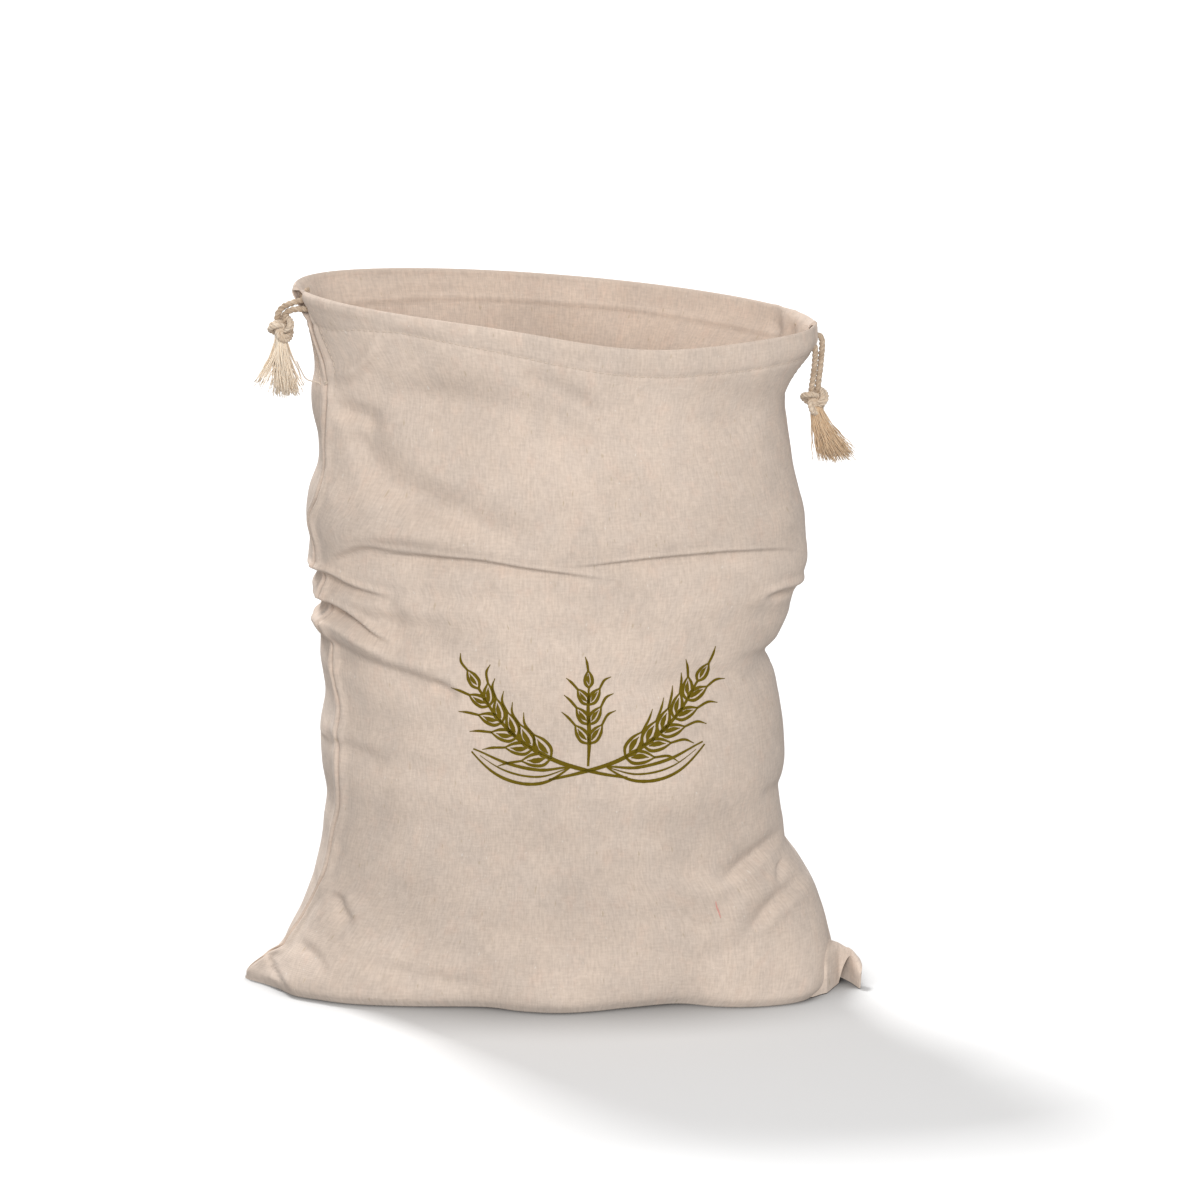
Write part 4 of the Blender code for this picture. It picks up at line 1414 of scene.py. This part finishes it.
@dataclass
class WheatPrint:
    """A screen print of two crossing wheat ears, a leaf beside each and a sprig between them."""

    onto: SurfaceMap
    middle: tuple[float, float] = (17.1, 151.7)
    grain: float = 14.2
    outline: float = 1.60
    step: float = 0.75
    lift: float = 0.20
    stem: float = 2.1
    stroke: float = 2.5
    awn: float = 1.25
    grains: int = 5
    first_grain: float = 0.44
    grain_apart: float = 0.112
    ear_lean: float = 0.52
    bud_lean: float = 0.62
    strokes: list[Stroke] = field(default_factory=list)

    def line(self, points: Sequence[Sequence[float]], width: float, start: float = 0.5, end: float = 0.3) -> None:
        """Adds a stroke that swells to its width between thinner ends.

        Args:
            points: what it passes through, from the print's middle.
            width: its full width.
            start: share of the width that it starts with.
            end: share of the width that it ends with.
        """
        made = spline(points, self.step)
        t = np.linspace(0.0, 1.0, len(made))
        size = np.minimum(start + (1 - start) * smooth(t / 0.35), end + (1 - end) * smooth((1 - t) / 0.45))
        rough = 1.0 + 0.07 * np.sin(7.0 * made[:, 0]) * np.cos(5.0 * made[:, 1])
        self.strokes.append(Stroke(made + self.middle, width * size * rough))

    def kernel(self, foot: Array, ahead: Array, lean: float, size: float) -> None:
        """Draws one grain: a pointed outline, a dark swelling stroke inside it and an awn.

        Args:
            foot: where it grows from.
            ahead: the stem's direction there.
            lean: how far it leans away from the stem, in radians.
            size: its size, as a share of a full grain.
        """
        turn = np.array([[math.cos(lean), -math.sin(lean)], [math.sin(lean), math.cos(lean)]])
        axis = turn @ ahead
        side = np.array([-axis[1], axis[0]])
        long = self.grain * size

        def spots(*shares: tuple[float, float]) -> list[Array]:
            """Places on the grain, ahead and to the left of its foot in shares of its length."""
            return [foot + axis * far * long + side * left * long for far, left in shares]

        for way in (1.0, -1.0):
            bow = spots((0.0, 0.0), (0.28, way * 0.20), (0.66, way * 0.17), (1.0, 0.0))
            self.line(bow, self.outline, 0.7, 0.5)
        self.line(spots((0.20, -0.02), (0.50, 0.03), (0.80, 0.0)), self.stroke * size, 0.25, 0.15)
        self.line(spots((0.96, 0.0), (1.45, 0.05), (1.80, math.copysign(0.14, lean))), self.awn, 0.9, 0.3)

    def ear(self, way: float) -> None:
        """Draws one ear with its stem and its leaf.

        Args:
            way: 1 for the ear that leans to the right and -1 for the other.
        """
        stem, leaf = [[(way * x, z) for x, z in line] for line in (STEM, LEAF)]
        self.line(stem, self.stem, 0.6, 0.6)
        path = spline(stem, 0.5)
        ahead = unit(np.gradient(path, axis=0))
        for k in range(self.grains):
            at = int(len(path) * (self.first_grain + self.grain_apart * k))
            for lean in (self.ear_lean, -self.ear_lean):
                self.kernel(path[at], ahead[at], lean, 1.02 - 0.060 * k)
        self.kernel(path[-1], ahead[-1], 0.02 * way, 0.74)
        self.leaf(leaf, 4.0)

    def leaf(self, spine: Sequence[Sequence[float]], wide: float) -> None:
        """Draws a long leaf: two outlines that meet at both ends, and a thin rib.

        Args:
            spine: the line of its rib.
            wide: how far the outlines stand off it.
        """
        path = spline(spine, self.step)
        bow = left_of(path) * (np.sin(math.pi * np.linspace(0.0, 1.0, len(path))) ** 0.8 * wide)[:, None]
        for way in (1.0, -1.0):
            self.line((path + bow * way)[::4], self.outline, 0.6, 0.5)
        self.line(path[2:-6:4], 1.0, 0.5, 0.3)

    def sprig(self) -> None:
        """Draws a small upright sprig of paired buds between the ears."""
        self.line([(0.0, -24.0), (0.6, -10.0), (0.0, 4.0), (0.4, 15.0)], 2.0, 0.6, 0.5)
        upright = np.array([0.0, 1.0])
        for k, z in enumerate((-13.0, -3.5, 6.0)):
            for lean in (self.bud_lean, -self.bud_lean):
                self.kernel(np.array([0.3, z]), upright, lean, 0.80 - 0.07 * k)
        self.kernel(np.array([0.4, 14.0]), upright, 0.04, 0.60)

    def build(self, ink: bpy.types.Material) -> bpy.types.Object:
        """Builds the print.

        Args:
            ink: what it wears.

        Returns:
            The piece.
        """
        self.ear(1.0)
        self.ear(-1.0)
        self.sprig()
        mesh = Mesh()
        for k, stroke in enumerate(self.strokes):
            stroke.add(mesh, self.onto, self.lift + 0.02 * (k % 3))
        return mesh.build("wheat_print", ink, "flat")


# ------------------------------------------------------------------ cords


# A turn that spreads points evenly over a disc, in radians.
GOLDEN_TURN = 2.399963


@dataclass(frozen=True)
class Wisp:
    """A share of a tassel's yarns that hangs to one place."""

    share: float
    x: float
    y: float
    drop: float
    wide: float
    deep: float


@dataclass
class Drawcord:
    """The two ends of a cord at one side: out of the casing, into one knot, and frayed below it."""

    name: str
    front: Sequence[Place]
    back: Sequence[Place]
    knot: Place
    knot_turn: float
    head: Place
    wisps: tuple[Wisp, ...]
    seed: int
    knot_reach: Place = (4.8, 3.0, 5.0)
    radius: float = 1.5
    lay: float = 7.5
    groove: float = 0.42
    knot_lay: float = 5.4
    knot_groove: float = 0.40
    knot_apart: float = 0.92
    core_half: float = 3.6
    core_radius: float = 3.0
    yarns: int = 300
    yarn_radii: Place = (0.34, 0.26, 0.15)
    bundle: tuple[float, float] = (2.7, 2.3)
    bundle_up: float = 1.6
    waver: float = 0.38
    exit_at: int = 3

    def tube(
        self, label: str, points: Sequence[Place], finish: bpy.types.Material,
    ) -> tuple[bpy.types.Object, Array]:
        """Builds one end as a rope of three plies.

        Args:
            label: which end.
            points: its route, as the solid has it.
            finish: its yarn.

        Returns:
            The piece and its centreline.
        """
        path = spline(points, 0.42)
        mesh = Mesh()
        add_tube(mesh, path, self.radius * 1.06, 27, plies=3, lay=self.lay, groove=self.groove)
        return mesh.build(f"cord_end_{self.name}_{label}", finish, "yarn"), path

    def tie(self, finish: bpy.types.Material) -> bpy.types.Object:
        """Builds the overhand knot that both ends share, with its turns drawn tight.

        Args:
            finish: its yarn.

        Returns:
            The piece.
        """
        mesh = Mesh()
        t = np.linspace(0.10, math.tau + 0.02, 150)
        x, z, y = np.sin(t) + 2 * np.sin(2 * t), np.cos(t) - 2 * np.cos(2 * t), -np.sin(3 * t)
        turn = self.knot_turn
        x, z = x * math.cos(turn) - z * math.sin(turn), x * math.sin(turn) + z * math.cos(turn)
        line = np.stack([x, y, z], axis=1)
        line = (line - 0.5 * (line.max(axis=0) + line.min(axis=0))) / (0.5 * np.ptp(line, axis=0)) * self.knot_reach
        side, up = frames_along(line)
        twist = np.linspace(0.0, 2.2, len(t))[:, None]
        for way in (self.knot_apart, -self.knot_apart):
            strand = line + (side * np.cos(twist) * way + up * np.sin(twist) * way) + self.knot
            add_tube(mesh, strand, self.radius * 0.98, 21, plies=3, lay=self.knot_lay, groove=self.knot_groove)
        along = np.linspace(-self.core_half, self.core_half, 9)
        core = np.stack([np.zeros(9), np.zeros(9), along], axis=1) + self.knot
        rounded = np.sqrt(np.clip(1.0 - np.linspace(-0.97, 0.97, 9) ** 2, 0.02, 1.0))
        add_tube(mesh, core, self.core_radius * rounded, 12)
        return mesh.build(f"knot_tied_{self.name}", finish, "yarn")

    def wisp_for(self, pick: float) -> Wisp:
        """The wisp whose share of the yarns holds a number from 0 to 1.

        Args:
            pick: the number.

        Returns:
            The wisp, or the last one where the number is past all shares.
        """
        for wisp in self.wisps:
            if pick < wisp.share:
                return wisp
            pick -= wisp.share
        return self.wisps[-1]

    def fray(self, finish: bpy.types.Material) -> bpy.types.Object:
        """Builds the frayed ends as many thin wavy yarns.

        Args:
            finish: their yarn.

        Returns:
            The piece.
        """
        rng = random.Random(self.seed)
        mesh = Mesh()
        head = np.array(self.head)
        s = np.linspace(0.0, 1.0, 13)
        sizes = np.interp(s, (0, 0.5, 1), self.yarn_radii)
        for k in range(self.yarns):
            wisp = self.wisp_for(rng.random())
            out, angle = math.sqrt((k + 0.5) / self.yarns), GOLDEN_TURN * k
            u, v = out * math.cos(angle), out * math.sin(angle)
            long = wisp.drop * rng.uniform(0.80, 1.04)
            flare = s ** rng.uniform(1.15, 1.7)
            wave, sway = [
                self.waver * s * np.sin(math.tau * (s * rng.uniform(1.6, 3.4) + rng.random())) for _ in range(2)
            ]
            x = self.bundle[0] * u + (wisp.x + wisp.wide * (0.75 * u + rng.gauss(0, 0.34))) * flare + wave
            y = self.bundle[1] * v + (wisp.y + wisp.deep * (0.75 * v + rng.gauss(0, 0.30))) * flare + sway
            path = head + np.stack([x, y, self.bundle_up - (long + self.bundle_up) * s], axis=1)
            add_tube(mesh, path, sizes, 4, start=rng.uniform(0.0, 40.0))
        return mesh.build(f"frayed_{self.name}", finish, "yarn")

    def build(
        self, yarn: bpy.types.Material, knotted: bpy.types.Material, frayed: bpy.types.Material,
    ) -> list[bpy.types.Object]:
        """Builds and places everything at this side.

        Args:
            yarn: what the cord wears.
            knotted: what the knot wears.
            frayed: what its frayed ends wear.

        Returns:
            Its pieces.
        """
        knot, tassel = self.tie(knotted), self.fray(frayed)
        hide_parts(f"knot_{self.name}")
        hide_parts(f"tassel_{self.name}")
        made = [knot, tassel]
        for label, points in (("front", self.front), ("back", self.back)):
            cord, path = self.tube(label, points, yarn)
            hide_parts(f"cord_{self.name}_{label}")
            path = path * MM
            length = float(np.linalg.norm(np.diff(path, axis=0), axis=1).sum())
            tuple(v * MM for v in points[self.exit_at])
            made.append(cord)
        for piece in made:
            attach(piece, "root")
        return made


DRAWCORDS = (
    Drawcord(
        "left",
        front=((-107.8, -24.5, 339.6), (-112.7, -19.4, 340.0), (-116.0, -14.8, 340.2), (-118.2, -10.4, 340.1),
               (-123.3, -10.6, 340.2), (-126.8, -10.9, 339.8), (-129.8, -10.6, 338.0), (-130.4, -10.0, 333.3)),
        back=((-119.5, 10.8, 344.4), (-121.5, 3.8, 344.6), (-121.7, -1.9, 344.6), (-120.7, -6.9, 344.2),
              (-126.6, -9.0, 342.9), (-131.0, -8.8, 340.8), (-133.6, -8.9, 337.4), (-133.9, -9.0, 333.3)),
        knot=(-132.2, -9.5, 330.6), knot_turn=0.5, head=(-132.36, -9.58, 325.6),
        wisps=(
            Wisp(0.82, 1.9, -1.0, 28.5, 3.9, 5.0),
            Wisp(0.12, -9.6, -1.0, 24.5, 1.3, 3.0),
            Wisp(0.06, 8.9, -1.0, 28.0, 0.9, 2.0),
        ),
        seed=5,
    ),
    Drawcord(
        "right",
        front=((119.0, -16.6, 321.4), (122.5, -10.4, 321.4), (124.2, -5.1, 321.4), (124.7, -0.9, 321.2),
               (127.4, -1.6, 318.6), (127.2, -1.3, 309.0), (125.9, -0.7, 298.5), (125.7, -0.5, 293.5)),
        back=((118.9, 18.1, 325.6), (123.3, 12.7, 325.3), (124.9, 7.0, 325.2), (125.5, 2.3, 324.8),
              (130.6, 1.9, 322.4), (130.4, 3.0, 311.0), (129.0, 1.0, 298.5), (129.1, 0.5, 293.5)),
        knot=(127.4, 0.0, 291.5), knot_turn=2.3, head=(128.08, -0.08, 287.3),
        wisps=(Wisp(0.84, 9.0, -1.0, 25.0, 5.6, 4.6), Wisp(0.16, 15.5, -1.0, 22.5, 1.8, 2.5)),
        seed=9,
    ),
)


# ------------------------------------------------------------------ stitching and the right corner


@dataclass
class Stitching:
    """Thread laid in short stitches along the casing and the slits, with its knots and one loose end."""

    shape: BagShape
    long: float = 2.3
    gap: float = 1.1
    thread: float = 0.20
    tack: float = 0.42
    tack_wide: float = 0.9
    tack_turns: float = 2.4
    loose: float = 0.36
    loose_from: tuple[Place, ...] = ((-124.5, -12.0, 314.5), (-122.4, -12.6, 310.0), (-119.6, -13.0, 305.6))
    slit_away: float = 5.4

    def stitch(self, mesh: Mesh, a: Array, b: Array, out: Array) -> None:
        """Adds one stitch, bowed outwards.

        Args:
            mesh: where it goes.
            a: its first end.
            b: its other end.
            out: the direction away from the cloth.
        """
        s = np.linspace(0.0, 1.0, 5)[:, None]
        bow = np.array([-0.5, 0.35, 0.6, 0.35, -0.5])[:, None] * self.thread
        add_tube(mesh, a * (1 - s) + b * s + out * bow, self.thread * 1.1, 5)

    def line(self, mesh: Mesh, side: Side, phi: Array, h: Array) -> None:
        """Adds stitches along a line on one side's outer face.

        Args:
            mesh: where they go.
            side: which side.
            phi: the line's angles round the bag.
            h: its heights along the cloth.
        """
        onto = SurfaceMap(self.shape, side)
        points = onto.points(phi, h)
        lifted = onto.points(phi, h, 1.0)
        run = run_along(points)
        at = 0.8
        while at + self.long < run[-1]:
            ends = [np.array([np.interp(d, run, points[:, k]) for k in range(3)]) for d in (at, at + self.long)]
            out = np.array([np.interp(at, run, (lifted - points)[:, k]) for k in range(3)])
            self.stitch(mesh, *ends, out)
            at += self.long + self.gap

    def casing(self, mesh: Mesh, side: Side) -> None:
        """Adds one side's row of stitches along the foot of the casing.

        Args:
            mesh: where they go.
            side: which side.
        """
        phi = side.value * np.linspace(0.11, math.pi - 0.11, 900)
        h = np.full(phi.shape, self.shape.rim - 13.0)
        for _ in range(3):
            h = self.shape.rim - self.shape.casing_depth(phi, self.shape.skin(phi, h, outer=False)[..., 0])
        self.line(mesh, side, phi, h)

    def slits(self, mesh: Mesh, side: Side) -> None:
        """Adds one side's rows of stitches beside both slits.

        Args:
            mesh: where they go.
            side: which side.
        """
        for k, foot in enumerate(self.shape.slit_foot):
            heights = np.linspace(foot - 1.0, self.shape.rim - 15.0, 60)
            opened = np.clip((heights - foot) / 41.0, 0, 1) ** 0.6
            away = self.slit_away / ARC_SLIT + 0.5 * self.shape.slit_wide * opened / ARC_SLIT
            self.line(mesh, side, side.value * (away if k == 0 else math.pi - away), heights)

    def tacks(self, mesh: Mesh) -> None:
        """Adds the small tangle of thread at the foot of each slit.

        Args:
            mesh: where they go.
        """
        for k, foot in enumerate(self.shape.slit_foot):
            seam = self.shape.skin(np.array([k * math.pi]), np.array([foot + 0.5]))[0]
            out = unit(seam * (1.0, 1.0, 0.0))
            ring = np.linspace(0.0, math.tau * self.tack_turns, 40)
            wide = self.tack_wide
            curl = np.stack([wide * np.cos(ring), wide * np.sin(ring), 0.7 * np.sin(1.3 * ring)], axis=1)
            add_tube(mesh, seam + out * 0.5 + curl, self.tack, 6)

    def stray(self, mesh: Mesh) -> None:
        """Adds the thread that runs loose from the left frayed end to the foot of its slit.

        Args:
            mesh: where it goes.
        """
        foot = self.shape.skin(np.array([-0.085]), np.array([self.shape.slit_foot[0] - 1.0]))[0]
        beside = foot + (-0.4, -0.3, 0.0)
        add_tube(mesh, spline([*self.loose_from, beside, beside + (0.3, -0.2, -4.5)], 0.8), self.loose, 6)

    def build(self, finish: bpy.types.Material) -> bpy.types.Object:
        """Builds all the stitching as one piece.

        Args:
            finish: the thread.

        Returns:
            The piece.
        """
        mesh = Mesh()
        for side in Side:
            self.casing(mesh, side)
            self.slits(mesh, side)
        self.tacks(mesh)
        self.stray(mesh)
        return mesh.build("stitching", finish, "yarn")


@dataclass
class Slub:
    """A short coral yarn caught in the weave, low at the right of the front."""

    shape: BagShape
    line: str = "715.5,900.5 716.5,906 718.5,911 720.5,917"
    radius: float = 0.42

    def build(self, finish: bpy.types.Material) -> bpy.types.Object:
        """Builds it as a thin tube that lies on the cloth.

        Args:
            finish: its yarn.

        Returns:
            The piece.
        """
        path = spline(self.shape.view.places(self.line, self.shape), 0.5)
        onto = SurfaceMap(self.shape)
        lying = onto.points(*onto.place(path[:, 0], path[:, 1]))
        mesh = Mesh()
        add_tube(mesh, lying, self.radius * (0.35 + 0.65 * np.sin(math.pi * np.linspace(0.0, 1.0, len(path)))), 6)
        return mesh.build("coral_slub", finish, "yarn")


# The roll at the right corner: where it ends, by the way round it; then its top, its feet and its crest, by x.
ROLL_END = (
    (0.0, 150.4), (0.30, 151.0), (0.44, 150.4), (0.50, 149.6),
    (0.60, 147.2), (0.74, 144.0), (0.86, 141.8), (1.0, 139.8),
)
ROLL_TOP = ((122, 20.5), (130, 20.4), (134, 19.8), (139.6, 18.8), (145.4, 16.0), (149.7, 11.4), (151, 9.4))
ROLL_BEHIND = ((122, 14.0), (134, 7.0), (142, -3.0), (147, -13.0), (151, -24.0))
ROLL_AHEAD = ((122, -40.0), (127, -38.0), (134, -31.0), (140, -13.0))
ROLL_CREST = ((122, -2.0), (134, -3.5), (144, -7.0), (151, -12.0))


@dataclass
class RightCorner:
    """The right end of the fold under the bag, where the cloth lies open in a small roll."""

    cloth: float = 0.9
    inner_x: float = 122.0
    columns: int = 40
    rows: int = 72
    low: float = 0.5
    lowest: float = 0.4

    def surface(self, u: Array, v: Array) -> Array:
        """The roll's outer face.

        Args:
            u: how far outwards from the bag, from 0 to 1.
            v: how far round, from its foot behind, over the top, to its foot in front.

        Returns:
            One row of x, y and z for each place.
        """
        x = self.inner_x + (read_off(ROLL_END, v) - self.inner_x) * u
        crest = read_off(ROLL_CREST, x)
        back = v < 0.5
        rise = np.where(back, v / 0.5, (1.0 - v) / 0.5)
        reach = np.where(back, read_off(ROLL_BEHIND, x), read_off(ROLL_AHEAD, x))
        y = crest + (reach - crest) * np.cos(0.5 * math.pi * rise) ** 0.8
        z = self.low + (read_off(ROLL_TOP, x) - self.low) * np.sin(0.5 * math.pi * rise)
        dent = 1.4 * bell((x - 131.5) / 2.2) * bell((v - 0.78) / 0.22)
        return np.stack([x, y + dent, z], axis=-1)

    def build(self, finish: bpy.types.Material) -> bpy.types.Object:
        """Builds the roll as a thin closed sheet.

        Args:
            finish: the linen.

        Returns:
            The piece.
        """
        rows, columns = self.rows, self.columns
        u, v = np.meshgrid(np.linspace(0.0, 1.0, columns), np.linspace(0.0, 1.0, rows))
        outer = self.surface(u, v)
        inner = outer - unit(np.cross(np.gradient(outer, axis=0), np.gradient(outer, axis=1))) * self.cloth
        inner[..., 2] = np.maximum(inner[..., 2], self.lowest)
        flat = np.stack([outer[..., 0], 300.0 + 60.0 * v], axis=-1)
        mesh = Mesh()
        first, second = mesh.rows(outer, flat), mesh.rows(inner, flat + (0.0, 100.0))
        mesh.grid(first, rows, columns)
        mesh.grid(second, rows, columns, turned=True)
        numbers = np.arange(rows * columns).reshape(rows, columns)
        ring = [*numbers[0], *numbers[1:, -1], *numbers[-1, -2::-1], *numbers[-2:0:-1, 0]]
        ring = [int(number) for number in ring]
        for a, b in zip(ring, ring[1:] + ring[:1]):
            mesh.face((first + b, first + a, second + a, second + b), True)
        return mesh.build("corner_right", finish, "flat", 62.0)


@dataclass
class BreadBag:
    """The whole bag: its cloth, corner, print, stitching and cords."""

    shape: BagShape = field(default_factory=BagShape)
    flat: tuple[float, float] = (0.300, 0.430)

    def build(self) -> list[bpy.types.Object]:
        """Makes the finishes and builds every piece.

        Returns:
            The pieces.
        """
        weave, fibre = weave_group(), fibre_group()
        linen = ClothFinish(
            "linen_cloth", Tone(0.628, 0.514, 0.427), Tone(0.600, 0.497, 0.419), Tone(0.654, 0.499, 0.405),
            Tone(0.40, 0.31, 0.19), Tone(0.78, 0.72, 0.65),
        ).build(weave)
        ink = InkFinish("olive_ink", Tone(0.128, 0.086, 0.002), Tone(0.200, 0.150, 0.018)).build(weave)
        # Each yarn's pale and deep tones are its own colour pushed apart by painted light and shade: pale on the
        # fibres' crowns, deep in their hollows.
        cord, knot, pale, gold, thread, coral = (YarnFinish(*look).build(fibre) for look in (
            ("cord_yarn", Tone(0.74, 0.60, 0.46), Tone(0.30, 0.20, 0.12), -0.9),
            ("knot_yarn", Tone(0.86, 0.74, 0.60), Tone(0.46, 0.33, 0.22), -0.9),
            ("frayed_pale", Tone(0.96, 0.85, 0.71), Tone(0.92, 0.76, 0.58), 0.2),
            ("frayed_golden", Tone(0.84, 0.65, 0.45), Tone(0.56, 0.37, 0.21), 0.2),
            ("sewing_thread", Tone(0.68, 0.57, 0.47), Tone(0.58, 0.48, 0.39), 0.6),
            ("coral_yarn", Tone(0.80, 0.42, 0.36), Tone(0.66, 0.27, 0.23), 0.4),
        ))
        corner, stitching = RightCorner().build(linen), Stitching(self.shape).build(thread)
        slub = Slub(self.shape).build(coral)
        wheat = WheatPrint(SurfaceMap(self.shape)).build(ink)
        made = []
        for side in Side:
            panel = ClothPanel(self.shape, side).build(linen)
            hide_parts("bag_body")
            made.append(panel)
        made += [corner, stitching, wheat, slub]
        for piece in made:
            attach(piece, "root")
        for drawcord, frayed in zip(DRAWCORDS, (pale, gold)):
            made += drawcord.build(cord, knot, frayed)
        return made


@dataclass
class Studio:
    """Pale floor with painted contact shade, soft lights and the camera."""

    distance: float = 10.0
    rise: float = 15.0
    target: Place = (0.0190, 0.0, 0.1951)
    frame_width: float = 0.5778
    sensor: float = 36.0
    sky: float = 0.48
    floor_tone: float = 0.89
    floor_rough: float = 0.95
    # how far the painted contact shade on the floor reaches, in metres
    painted_contact_shade: float = 0.055

    def build(self) -> None:
        """Makes the floor, the sky, the lights and the camera."""
        self.floor()
        self.lights()
        self.camera()

    def floor(self) -> None:
        """Makes a wide plain sheet whose colour holds painted contact shade: ambient occlusion darkens it where the
        bag stands close.
        """
        mesh = Mesh()
        x, y = np.meshgrid(np.linspace(-9000.0, 9000.0, 9), np.linspace(-6000.0, 9000.0, 9))
        flat = np.stack([x, y], axis=-1)
        first = mesh.rows(np.stack([x, y, np.zeros_like(x)], axis=-1), flat)
        mesh.grid(first, *x.shape)
        material, nodes, shader = new_material("studio_floor")
        tone = Tone(self.floor_tone, self.floor_tone, self.floor_tone).rgba()
        # Painted shade: the floor's colour is darkened by ambient occlusion within this reach of the bag.
        painted_contact_shade = nodes.add("ShaderNodeAmbientOcclusion", Color=tone, Distance=self.painted_contact_shade)
        nodes.put(shader.inputs["Base Color"], painted_contact_shade.outputs["Color"])
        shader.inputs["Roughness"].default_value = self.floor_rough
        shader.inputs["Specular IOR Level"].default_value = 0.1
        floor = mesh.build("studio_floor", material, "flat")
        floor.visible_diffuse = False

    def aim(self, made: bpy.types.Object, place: Sequence[float]) -> None:
        """Puts a light or a camera in its place, turned to the bag.

        Args:
            made: the light or camera.
            place: where it goes, in metres.
        """
        made.location = place
        made.rotation_euler = (Vector(self.target) - Vector(place)).to_track_quat("-Z", "Y").to_euler()
        bpy.context.scene.collection.objects.link(made)

    def light(self, name: str, place: Place, size: float, watts: float) -> None:
        """Adds a square soft light aimed at the bag.

        Args:
            name: its name.
            place: where it is, in metres.
            size: the length of its side.
            watts: its power.
        """
        data = bpy.data.lights.new(name, "AREA")
        data.size, data.energy = size, watts
        self.aim(bpy.data.objects.new(name, data), place)

    def lights(self) -> None:
        """Makes a key from the upper left behind, a softer light in front, and an even sky."""
        world = bpy.data.worlds.new("studio_sky")
        world.use_nodes = True
        background = world.node_tree.nodes["Background"]
        background.inputs["Color"].default_value = (1.0, 1.0, 1.0, 1.0)
        background.inputs["Strength"].default_value = self.sky
        bpy.context.scene.world = world
        self.light("key", (-1.26, 2.25, 3.21), 0.90, 140.0)
        self.light("front", (0.12, -3.15, 1.72), 1.40, 84.0)
        bpy.context.scene.view_settings.view_transform = "Standard"

    def camera(self) -> None:
        """Makes a long lens a little above the bag, straight at its front."""
        data = bpy.data.cameras.new("camera")
        data.sensor_width = self.sensor
        data.lens = self.sensor * self.distance / self.frame_width
        data.clip_end = 50.0
        rise = math.radians(self.rise)
        away = Vector((0.0, -math.cos(rise), math.sin(rise))) * self.distance
        made = bpy.data.objects.new("camera", data)
        self.aim(made, Vector(self.target) + away)
        bpy.context.scene.camera = made


def main() -> None:
    """Builds every piece in order and hands the scene over."""
    logging.basicConfig(level=logging.INFO, format="%(message)s")
    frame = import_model()
    LOG.info("frame has %d nodes", len(frame["nodes"]))
    Studio().build()
    for piece in BreadBag().build():
        LOG.info("%s: %d faces", piece.name, len(piece.data.polygons))


if __name__ == "__main__":
    main()
